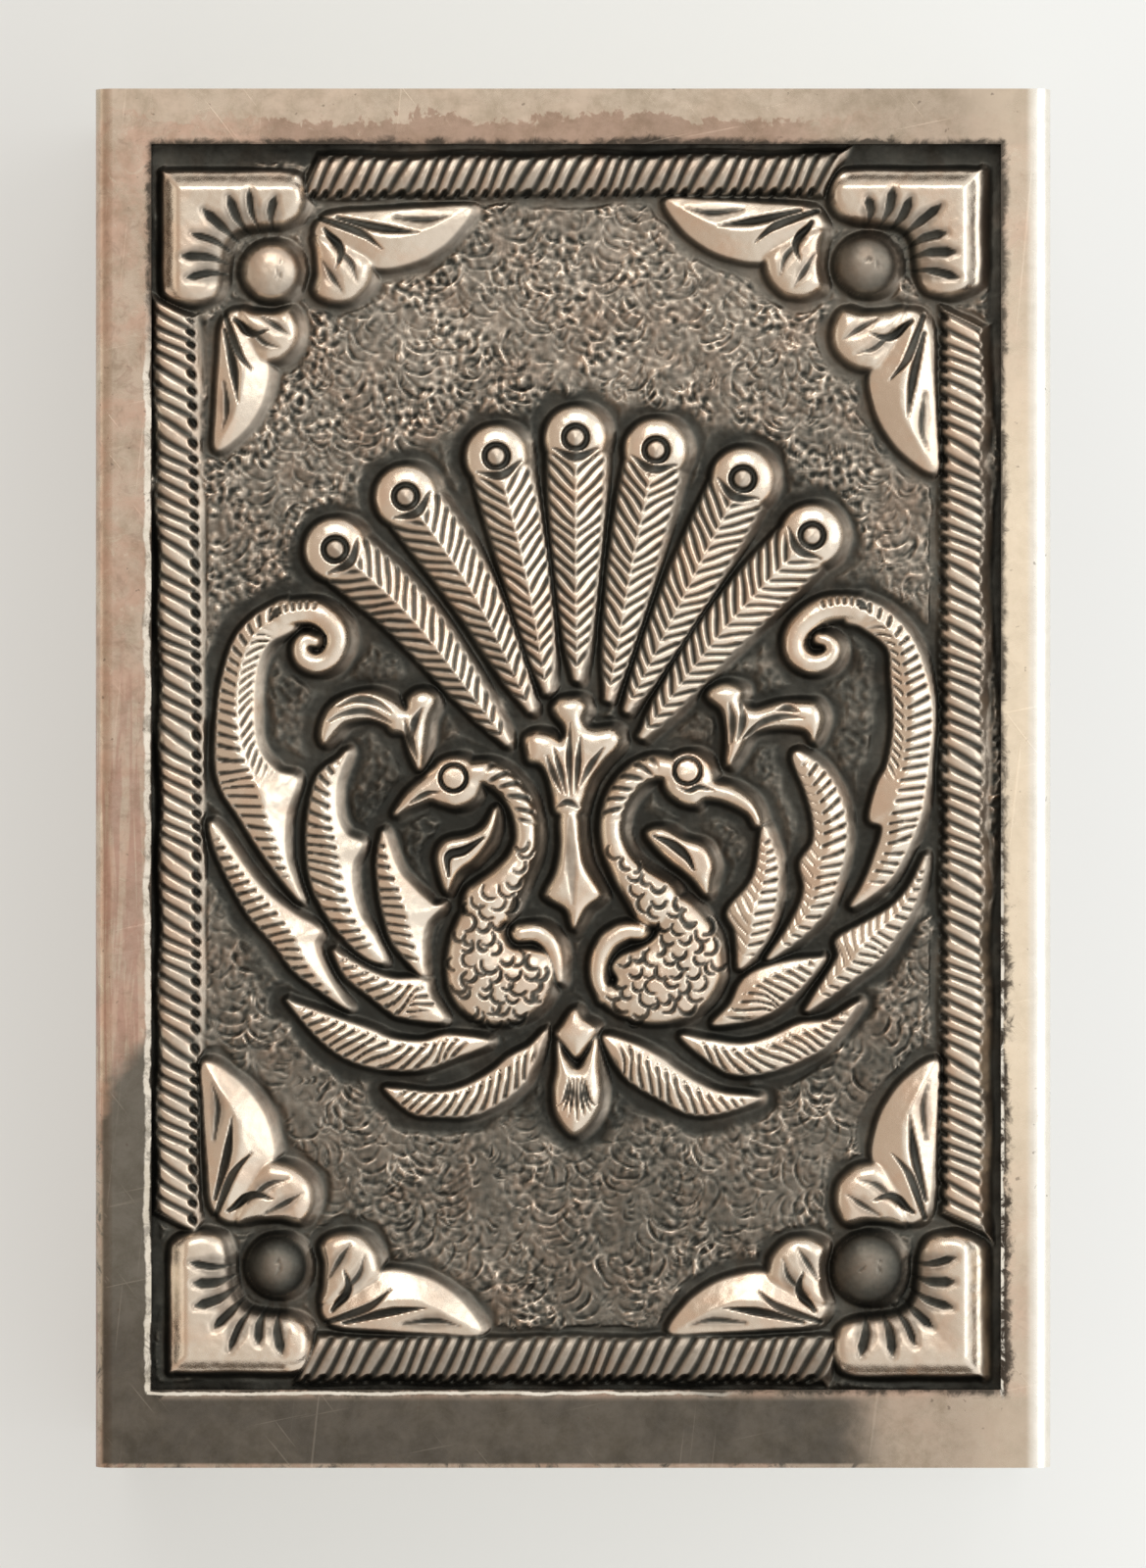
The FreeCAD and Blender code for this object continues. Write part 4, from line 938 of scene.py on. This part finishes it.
class Finish:
    """A material, or the sky, built up node by node."""

    def __init__(self, name, store=bpy.data.materials):
        self.owner = store.new(name)
        self.owner.use_nodes = True
        self.tree = self.owner.node_tree
        self.tree.nodes.clear()
        self.object_place = None

    def node(self, kind, settings=None, sockets=None):
        """Any node: its settings are set first, then the values or links of its sockets."""
        made = self.tree.nodes.new(kind)
        for name, setting in (settings or {}).items():
            if name == "stops":
                ramp = made.color_ramp
                while len(ramp.elements) < len(setting):
                    ramp.elements.new(1.0)
                for element, (position, colour) in zip(ramp.elements, setting):
                    element.position = position
                    element.color = (*colour, 1.0)
            else:
                setattr(made, name, setting)
        for key, given in (sockets or {}).items():
            if isinstance(given, Value):
                self.tree.links.new(given.socket, made.inputs[key])
            else:
                made.inputs[key].default_value = given
        return made

    def value(self, kind, settings=None, sockets=None, output=0):
        return Value(self, self.node(kind, settings, sockets).outputs[output])

    def position(self, size=(1.0, 1.0, 1.0), turn=0.0):
        """Object coordinates turned about Z and counted in steps of this many millimetres."""
        if self.object_place is None:
            self.object_place = self.value("ShaderNodeTexCoord", output="Object")
        sockets = {"Vector": self.object_place, "Scale": tuple(step * MM for step in size)}
        sockets["Rotation"] = (0.0, 0.0, math.radians(turn))
        return self.value("ShaderNodeMapping", {"vector_type": "TEXTURE"}, sockets)

    def axes(self):
        """X, Y and Z in millimetres."""
        parts = self.node("ShaderNodeSeparateXYZ", None, {0: self.position()})
        return [Value(self, output) for output in parts.outputs]

    def noise(self, size, detail=3.0, rough=0.55, long=1.0, turn=0.0, warp=0.0):
        """Cloudy variation with features about this many millimetres across, drawn out along one way."""
        place = self.position((size * long, size, size), turn)
        sockets = {"Vector": place, "Scale": 1.0, "Detail": detail, "Roughness": rough, "Distortion": warp}
        return self.value("ShaderNodeTexNoise", None, sockets)

    def mix(self, share, first, second, blend="MIX"):
        """A colour between two others, or one laid over the other."""
        settings = {"data_type": "RGBA", "clamp_factor": True, "blend_type": blend}
        sockets = {}
        for key, given in ((0, share), (6, first), (7, second)):
            sockets[key] = (*given, 1.0) if isinstance(given, tuple) else given
        return self.value("ShaderNodeMix", settings, sockets, 2)

    def ramp(self, share, stops):
        return self.value("ShaderNodeValToRGB", {"stops": stops}, {0: share})

    def bump(self, height, distance, strength=1.0, below=None):
        """A surface normal from a height between 0 and 1; distance in millimetres."""
        sockets = {"Height": height, "Distance": distance * MM, "Strength": strength}
        if below is not None:
            sockets["Normal"] = below
        return self.value("ShaderNodeBump", None, sockets)

    def done(self, **given):
        """The shader itself, from words that are its socket names with underscores."""
        sockets = {name.replace("_", " "): value for name, value in given.items()}
        shader = self.value("ShaderNodeBsdfPrincipled", None, sockets)
        self.node("ShaderNodeOutputMaterial", None, {"Surface": shader})
        return self.owner


def chased_silver():
    """Bright warm silver on the raised work, black in the cuts and trenches."""
    finish = Finish("chased_silver")
    # Its tone holds tarnish, painted highlights on the walls that face the lamp, and painted shade on half of
    # each fan feather and in the flutes' dips.
    tarnish = finish.value("ShaderNodeAttribute", {"attribute_name": "tarnish"}, None, "Fac")
    cloud = finish.noise(5.0, 4.0)
    grain = finish.noise(0.22, 2.0)
    fine = finish.noise(0.06, 2.0)
    blot = finish.noise(1.3, 3.0)
    tone = tarnish + 0.22 * (cloud - 0.5) + 0.2 * (blot - 0.5) + 0.1 * (grain - 0.5)
    stops = [
        (0.0, (0.81, 0.71, 0.59)), (0.2, (0.7, 0.6, 0.49)), (0.45, (0.36, 0.312, 0.258)),
        (0.65, (0.2, 0.178, 0.147)), (0.85, (0.084, 0.081, 0.069)), (1.0, (0.038, 0.038, 0.033)),
    ]
    blush = finish.noise(1.9, 3.0, 0.6, warp=0.4).between(0.46, 0.66)
    colour = finish.mix(blush * 0.7, finish.ramp(tone, stops), (1.0, 0.9, 0.85), "MULTIPLY")
    rough = 0.24 + 0.3 * tone + 0.12 * (fine - 0.5)
    normal = finish.bump(0.6 * grain + 0.4 * fine, 0.012, 0.8)
    return finish.done(Base_Color=colour, Metallic=1.0, Roughness=rough, Normal=normal)


def hairlines(finish):
    """Fine scratches in a few directions."""
    lines = None
    for turn, size, long in ((12, 0.16, 40), (-52, 0.13, 30), (84, 0.18, 50)):
        line = finish.noise(size, 1.0, 0.4, long, turn).between(0.72, 0.8)
        lines = line if lines is None else lines.larger(line)
    return lines


# Colours of the rim: its stains, with painted reflections and painted highlights
PALE_RIM, BROWN_RIM, GREY_RIM = (0.66, 0.56, 0.45), (0.46, 0.33, 0.255), (0.53, 0.44, 0.35)
RED_STREAK, CREAM_REFLECTION, BEND_HIGHLIGHT = (0.46, 0.26, 0.21), (0.97, 0.84, 0.66), (1.0, 0.96, 0.88)
REFLECTED_DARK, REFLECTED_BROWN, REFLECTED_PALE = (0.125, 0.112, 0.095), (0.16, 0.142, 0.118), (0.2, 0.183, 0.155)
BLACK_EDGE, BROWN_EDGE, BURR_HIGHLIGHT = (0.05, 0.045, 0.038), (0.06, 0.048, 0.038), (1.0, 0.95, 0.85)


def rim_stains_and_reflections(finish, colour, cloud, blot, stain):
    """Colours of the front rim: browner below a pale top, greyer at the right of the top and bottom, and
    streaked red low on the left; a painted cream reflection at the right, a painted highlight on the right
    bend, and a painted dark reflection along the bottom and low down on the left.
    """
    x, y, _ = finish.axes()
    wander = 5.0 * (cloud - 0.5) + 2.0 * (blot - 0.5)
    ragged = 1.3 * (stain - 0.5) + 0.9 * (blot - 0.5)
    on_top = y.between(25.0, 25.3)
    low = 1 - y.between(-24.8, -24.3)
    pale_top = (y + 1.6 * ragged + 2.4 * (cloud - 0.5)).between(26.2, 26.4)
    middle = (x + wander).between(-12.5, -11.5) * (1 - (x + wander).between(9.0, 10.5))
    colour = finish.mix(on_top * pale_top * 0.8, colour, PALE_RIM)
    colour = finish.mix(on_top * (1 - pale_top) * middle * 0.9, colour, BROWN_RIM)
    right_grey = (x + wander).between(8.0, 12.0) * on_top.larger(low)
    colour = finish.mix(right_grey * 0.8, colour, GREY_RIM)
    streak = finish.noise(0.45, 3.0, 0.6, 16, 90, 0.8)
    on_left = (1 - x.between(-17.3, -16.9)) * (1 - (y + wander).between(0.0, 8.0))
    colour = finish.mix(on_left * streak.between(0.5, 0.6) * 0.5, colour, RED_STREAK)
    # The right rim is painted cream, less towards its ends: painted reflection of the bright right side.
    right_ends = (y + wander).size().between(10.0, 23.0)
    colour = finish.mix(x.between(15.0, 17.6) * (1 - 0.75 * right_ends), colour, CREAM_REFLECTION)
    # A white band on the right bend: painted highlight.
    colour = finish.mix(x.between(17.95, 18.3) * 0.9, colour, BEND_HIGHLIGHT)
    # The bottom of the rim and its lower left are painted dark brown, paler higher up on the left: painted
    # reflection of something dark in front, kept off the right.
    low_left = (1 - (y - 2 * (x + 17) + 1.5 * wander).between(-11.5, -9.0)) * (1 - x.between(-16.5, -16.0))
    dull = low.larger(low_left) * (1 - (x + 0.5 * wander + 0.5 * ragged).between(10.3, 13.0))
    dark_reflection = finish.mix(blot.between(0.35, 0.65), REFLECTED_DARK, REFLECTED_BROWN)
    dark_reflection = finish.mix(y.between(-23.5, -19.0), dark_reflection, REFLECTED_PALE)
    # On the left and bottom bends the painted dark thins in patches, so that they read lighter: painted
    # highlight.
    at_bend = (1 - x.between(-18.85, -18.6)).larger(1 - y.between(-27.3, -27.18))
    bend_light_patches = at_bend * stain.between(0.3, 0.5)
    colour = finish.mix(dull * (1 - 0.75 * bend_light_patches), colour, dark_reflection)
    return window_edge(finish, colour, wander, ragged, blot, stain)


def window_edge(finish, colour, wander, ragged, blot, stain):
    """The rim beside the window: a black stain all round, a brown one at the right, and broken bright lines
    painted along the edge as the highlights of a burr.
    """
    x, y, _ = finish.axes()
    beside = (WINDOW_LEFT - x).larger(x - WINDOW_RIGHT)
    edge = beside.larger((WINDOW_LOW - y).larger(y - WINDOW_HIGH))
    stained_edge = edge + 0.6 * ragged
    colour = finish.mix(0.9 - 0.9 * stained_edge.between(0.0, 0.32), colour, BLACK_EDGE)
    waved_edge = edge + 0.4 * (blot - 0.5)
    # Thin bright lines just outside the window's edge, along the bottom, up the left and low on the right:
    # painted highlights of a burr.
    low_burr_glint = waved_edge.between(0.05, 0.1) * (1 - waved_edge.between(0.17, 0.23))
    low_burr_glint = low_burr_glint * (1 - y.between(-24.4, -24.3)) * (1 - (x + wander).between(2.0, 7.0))
    left_edge = WINDOW_LEFT - x + 0.5 * (blot - 0.5)
    left_burr_glint = left_edge.between(0.0, 0.08) * (1 - left_edge.between(0.22, 0.32)) * y.between(-24.5, -24.3)
    left_burr_glint = left_burr_glint * (1 - (y + wander).between(15.0, 20.0)) * (0.5 + 0.5 * stain.between(0.36, 0.54))
    right_edge = x - WINDOW_RIGHT + 0.25 * (blot - 0.5)
    right_low = (1 - (y + wander).between(-8.0, 0.0)) * y.between(-24.8, -24.3)
    right_stain = 1 - (right_edge + 0.9 * ragged).between(0.12, 0.45)
    right_stain = right_stain * (x - WINDOW_RIGHT).between(0.0, 0.02)
    colour = finish.mix(right_stain * right_low * 0.9, colour, BROWN_EDGE)
    right_burr_glint = right_edge.between(-0.06, 0.0) * (1 - right_edge.between(0.08, 0.15)) * right_low
    right_burr_glint = right_burr_glint * stain.between(0.42, 0.56)
    return finish.mix(left_burr_glint.larger(low_burr_glint).larger(right_burr_glint), colour, BURR_HIGHLIGHT)


def sheet_silver(name, front):
    """Worn polished sheet with warm clouds, hairlines and specks."""
    finish = Finish(name)
    cloud = finish.noise(7.0, 4.0, 0.6, warp=0.6)
    blot = finish.noise(2.2, 5.0, 0.65, warp=0.4)
    stain = finish.noise(0.8, 4.0, 0.7, warp=0.8)
    speck = finish.noise(0.35, 2.0, 0.5)
    grime = finish.noise(1.2, 6.0, 0.75, warp=0.2)
    lines = hairlines(finish)
    x, _, z = finish.axes()
    on_front = z.between(FRONT_LEVEL - 1.3, FRONT_LEVEL - 0.4)
    stained = 0.3 + 0.7 * on_front
    colour = finish.mix(blot.between(0.38, 0.62) * stained, (0.65, 0.535, 0.43), (0.64, 0.46, 0.36))
    colour = finish.mix(stain.between(0.52, 0.66) * 0.5 * stained, colour, (0.44, 0.32, 0.25))
    colour = finish.mix((1 - stain.between(0.34, 0.42)) * 0.4 * stained, colour, (0.8, 0.7, 0.57))
    if front:
        # The front rim's stains, with painted reflections and highlights among them.
        colour = finish.mix(on_front, colour, rim_stains_and_reflections(finish, colour, cloud, blot, stain))
    # Grime, thinned over the right rim, where the painted cream reflection is.
    grime_spared_at_right = grime.between(0.36, 0.72) * (0.2 + 0.55 * on_front * (1 - 0.8 * x.between(14.5, 16.0)))
    colour = finish.mix(grime_spared_at_right, colour, (0.66, 0.65, 0.6), "MULTIPLY")
    colour = finish.mix(speck.between(0.7, 0.76) * 0.5, colour, (0.12, 0.09, 0.07))
    colour = finish.mix(lines * 0.08, colour, (0.85, 0.75, 0.63))
    rough = 0.28 + 0.16 * (blot - 0.5) + 0.12 * (stain - 0.5) + 0.1 * lines
    wave = finish.bump(cloud, 0.12, 0.5)
    normal = finish.bump(0.4 * lines + 0.3 * speck + 0.3 * stain, 0.008, 0.6, wave)
    return finish.done(Base_Color=colour, Metallic=1.0, Roughness=rough, Normal=normal)


def solder_grey():
    """Dull solder with a clouded skin."""
    finish = Finish("solder_grey")
    cloud = finish.noise(0.8, 4.0)
    colour = finish.mix(cloud.between(0.3, 0.7), (0.24, 0.22, 0.2), (0.46, 0.43, 0.39))
    normal = finish.bump(cloud, 0.05, 0.8)
    return finish.done(Base_Color=colour, Metallic=1.0, Roughness=0.35 + 0.25 * cloud, Normal=normal)


def card(name, pale, deep):
    """Uncoated card with fibres, a soft mottle and a few flecks."""
    finish = Finish(name)
    fibre = finish.noise(0.5, 3.0, 0.6, 4, 12).larger(finish.noise(0.5, 3.0, 0.6, 4, 83))
    mottle = finish.noise(6.0, 4.0, 0.6)
    fleck = finish.noise(0.3, 1.0)
    colour = finish.mix(mottle.between(0.3, 0.72), pale, deep)
    colour = finish.mix(fibre.between(0.55, 0.75) * 0.35, colour, tuple(0.72 * part for part in deep))
    colour = finish.mix(fleck.between(0.72, 0.78) * 0.5, colour, (0.25, 0.17, 0.1))
    normal = finish.bump(fibre, 0.03, 0.6)
    return finish.done(Base_Color=colour, Roughness=0.78 + 0.15 * (fibre - 0.5), Normal=normal)


def striking_grit():
    """Brown phosphorus strip with a printed dot grid and pale strike marks."""
    finish = Finish("striking_grit")
    dots = finish.value("ShaderNodeTexVoronoi", {"feature": "F1"}, {
        "Vector": finish.position(), "Scale": 1.3, "Randomness": 0.15})
    grit = finish.noise(0.12, 2.0)
    strike = finish.noise(1.2, 3.0, 0.5, 12, 90)
    colour = finish.mix(dots.between(0.2, 0.42), (0.06, 0.025, 0.02), (0.17, 0.075, 0.055))
    colour = finish.mix(strike.between(0.55, 0.7) * 0.5, colour, (0.36, 0.24, 0.18))
    normal = finish.bump(0.6 * grit + 0.4 * dots, 0.04, 0.9)
    return finish.done(Base_Color=colour, Roughness=0.85 + 0.1 * (grit - 0.5), Normal=normal)


def match_wood():
    """Split aspen: long pale grain with a few darker streaks."""
    finish = Finish("match_wood")
    grain = finish.noise(0.5, 4.0, 0.6, 20, 90)
    streak = finish.noise(2.0, 2.0, 0.5, 25, 90)
    colour = finish.mix(grain.between(0.3, 0.72), (0.74, 0.57, 0.35), (0.55, 0.38, 0.2))
    colour = finish.mix(streak.between(0.6, 0.75) * 0.5, colour, (0.42, 0.27, 0.13))
    normal = finish.bump(grain, 0.04, 0.7)
    return finish.done(Base_Color=colour, Roughness=0.72 + 0.2 * (grain - 0.5), Normal=normal)


def match_dip():
    """Matt red-brown match head with a grainy skin."""
    finish = Finish("match_dip")
    grain = finish.noise(0.16, 3.0, 0.6)
    cloud = finish.noise(1.2, 2.0)
    colour = finish.mix(cloud.between(0.3, 0.7), (0.33, 0.035, 0.03), (0.45, 0.07, 0.05))
    colour = finish.mix(grain.between(0.62, 0.72) * 0.6, colour, (0.18, 0.02, 0.02))
    normal = finish.bump(grain, 0.06, 0.8)
    return finish.done(Base_Color=colour, Roughness=0.62 + 0.3 * (grain - 0.5), Normal=normal)


def wear(piece, finish):
    """Give a piece this finish all over."""
    piece.data.materials.clear()
    piece.data.materials.append(finish)


def apply_modifiers(piece):
    select_only(piece)
    for modifier in list(piece.modifiers):
        bpy.ops.object.modifier_apply(modifier=modifier.name)


def add_modifier(piece, kind, **settings):
    modifier = piece.modifiers.new(kind.lower(), kind)
    for name, setting in settings.items():
        setattr(modifier, name, setting)


def box_between(name, low, high):
    """A block from one corner to the other, with its place in its mesh."""
    bpy.ops.object.select_all(action="DESELECT")
    bpy.ops.mesh.primitive_cube_add(size=1, location=(low + high) / 2, scale=high - low)
    block = bpy.context.object
    block.name = name
    bpy.ops.object.transform_apply(location=True, rotation=True, scale=True)
    return block


def select_faces(piece, wanted):
    """Select in edit mode the faces whose normals pass the test."""
    select_only(piece)
    bpy.ops.object.mode_set(mode="EDIT")
    bpy.ops.mesh.select_mode(type="FACE")
    bpy.ops.mesh.select_all(action="DESELECT")
    bpy.ops.object.mode_set(mode="OBJECT")
    for face in piece.data.polygons:
        face.select = wanted(face.normal)
    bpy.ops.object.mode_set(mode="EDIT")


def fold_card(name, box, is_open, fold_radius):
    """A card piece: a block without its open sides, its folds rounded and its card given thickness."""
    piece = box_between(name, *box)
    select_faces(piece, is_open)
    bpy.ops.mesh.delete(type="ONLY_FACE")
    bpy.ops.object.mode_set(mode="OBJECT")
    add_modifier(piece, "BEVEL", width=fold_radius * MM, segments=3, limit_method="ANGLE")
    add_modifier(piece, "SOLIDIFY", thickness=CARD_THICKNESS * MM, offset=-1)
    apply_modifiers(piece)
    return piece


def whittle_stick(low, high):
    """A square match stick with its long edges eased."""
    stick = box_between("splint_01", low, high)
    add_modifier(stick, "BEVEL", width=0.16 * MM, segments=2)
    apply_modifiers(stick)
    return stick


def dip_head(low, high):
    """A drop of composition on the end of a match, thinner towards the stick."""
    middle = (low + high) / 2
    bpy.ops.object.select_all(action="DESELECT")
    upright = (math.radians(-90), 0, 0)
    bpy.ops.mesh.primitive_uv_sphere_add(segments=20, ring_count=14, radius=0.5, rotation=upright)
    drop = bpy.context.object
    drop.name = "dipped_head_01"
    bpy.ops.object.transform_apply(location=True, rotation=True, scale=True)
    for vertex in drop.data.vertices:
        pinch = 1 - 0.26 * max(0.0, -vertex.co.y)
        vertex.co.x *= pinch
        vertex.co.z *= pinch
    drop.scale = high - low
    drop.location = middle
    bpy.ops.object.transform_apply(location=True, rotation=True, scale=True)
    bpy.ops.object.shade_smooth()
    return drop


def lay_copies(first, node, finish):
    """Dress the first match piece and lay a copy of it, with a mesh of its own, in each other place."""
    wear(first, finish)
    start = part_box(f"{node}_01")[0]
    for number in range(1, MATCH_COUNT + 1):
        piece = first
        if number > 1:
            piece = first.copy()
            piece.data = first.data.copy()
            piece.name = first.name.replace("01", f"{number:02d}")
            bpy.context.collection.objects.link(piece)
            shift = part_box(f"{node}_{number:02d}")[0] - start
            for vertex in piece.data.vertices:
                vertex.co += shift
        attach(piece, "drawer")
        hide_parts(f"{node}_{number:02d}")


def dress_matchbox():
    """The card tube, its drawer, the striking strips and the matches."""
    sleeve_card = card("printed_card", (0.8, 0.7, 0.52), (0.7, 0.58, 0.4))
    tray_card = card("plain_card", (0.8, 0.75, 0.64), (0.7, 0.63, 0.5))
    tube = fold_card("matchbox_tube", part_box("matchbox_sleeve"), lambda normal: abs(normal.y) > 0.9, 0.35)
    wear(tube, sleeve_card)
    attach(tube, "matchbox")
    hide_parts("matchbox_sleeve")
    drawer = fold_card("matchbox_drawer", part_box("tray"), lambda normal: normal.z > 0.9, 0.3)
    wear(drawer, tray_card)
    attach(drawer, "drawer")
    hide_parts("tray")
    grit = striking_grit()
    for node in ("striker_left", "striker_right"):
        wear(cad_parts[node], grit)
    lay_copies(whittle_stick(*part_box("match_stick_01")), "match_stick", match_wood())
    lay_copies(dip_head(*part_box("match_head_01")), "match_head", match_dip())


def dress_holder():
    """The two sheets, the solder between them and the chased panel."""
    wear(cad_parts["front_shell"], sheet_silver("rim_silver", True))
    wear(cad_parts["back_shell"], sheet_silver("back_silver", False))
    wear(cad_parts["solder_seam"], solder_grey())
    chased = chased_silver()
    for band in chase_panel():
        wear(band, chased)
        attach(band, "holder")
        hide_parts("embossed_panel")


def lay_floor():
    """A pale floor that keeps the holder's shadow, its glow painted darker at the left and lighter at the
    right as a fall of light from the right lamp.
    """
    bpy.ops.object.select_all(action="DESELECT")
    bpy.ops.mesh.primitive_plane_add(size=4, location=(0, 0, -0.05 * MM))
    floor = bpy.context.object
    floor.name = "floor"
    finish = Finish("pale_floor")
    cloud = finish.noise(40.0, 2.0)
    colour = finish.mix(cloud, (0.73, 0.75, 0.75), (0.76, 0.78, 0.78))
    matt = finish.value("ShaderNodeBsdfDiffuse", None, {"Color": colour})
    # The glow is painted darker at the left and lighter at the right: painted light and shade from the right
    # lamp across the floor.
    floor_glow_lighter_right = finish.mix(finish.axes()[0].between(-30.0, 30.0), (0.77, 0.765, 0.73), (1.03, 1.045, 1.02))
    glow = finish.value("ShaderNodeEmission", None, {"Color": floor_glow_lighter_right})
    path = finish.node("ShaderNodeLightPath")
    kinds = ("Camera", "Glossy", "Transmission")
    seen = sum(Value(finish, path.outputs[f"Is {kind} Ray"]) for kind in kinds)
    paler = finish.value("ShaderNodeMixShader", None, {0: 0.5 * seen, 1: matt, 2: glow})
    finish.node("ShaderNodeOutputMaterial", None, {"Surface": paler})
    wear(floor, finish.owner)


def area_lamp(name, place, size, watts, colour):
    """A soft square lamp that points at the holder."""
    bpy.ops.object.light_add(type="AREA", location=place)
    lamp = bpy.context.object
    lamp.name = name
    lamp.data.size = size
    lamp.data.energy = watts
    lamp.data.color = colour
    lamp.rotation_euler = (-lamp.location).to_track_quat("-Z", "Y").to_euler()


def light_studio():
    """A bright side at the right, a warm dim side at the left, and an even sky above."""
    area_lamp("right_soft_box", (0.55, 0.12, 0.42), 0.5, 0.95, (1.0, 0.98, 0.94))
    area_lamp("top_soft_box", (0.0, 0.5, 0.7), 0.5, 1.6, (1.0, 0.98, 0.95))
    sky = Finish("studio", bpy.data.worlds)
    way = sky.node("ShaderNodeSeparateXYZ", None, {0: sky.value("ShaderNodeTexCoord", output="Generated")})
    stops = [
        (0.0, (1.1, 1.0, 0.88)), (0.06, (0.6, 0.5, 0.42)), (0.3, (0.67, 0.565, 0.485)),
        (0.5, (0.8, 0.765, 0.72)), (0.68, (0.96, 0.945, 0.925)), (1.0, (1.06, 1.07, 1.07)),
    ]
    colour = sky.ramp(0.5 + 0.5 * Value(sky, way.outputs["X"]), stops)
    glow = sky.value("ShaderNodeBackground", None, {"Color": colour})
    sky.node("ShaderNodeOutputWorld", None, {"Surface": glow})
    bpy.context.scene.world = sky.owner


def set_camera():
    """Straight above the front, framed as a picture of 1169 by 1600."""
    height, face, long_side = 0.316, 0.0161, 0.0623
    below_middle = -0.00023
    bpy.ops.object.camera_add(location=(0.0, below_middle, height), rotation=(0, 0, 0))
    camera = bpy.context.object
    camera.data.lens = camera.data.sensor_width * (height - face) / long_side
    bpy.context.scene.camera = camera


dress_holder()
dress_matchbox()
lay_floor()
light_studio()
set_camera()
bpy.context.scene.view_settings.view_transform = "Standard"
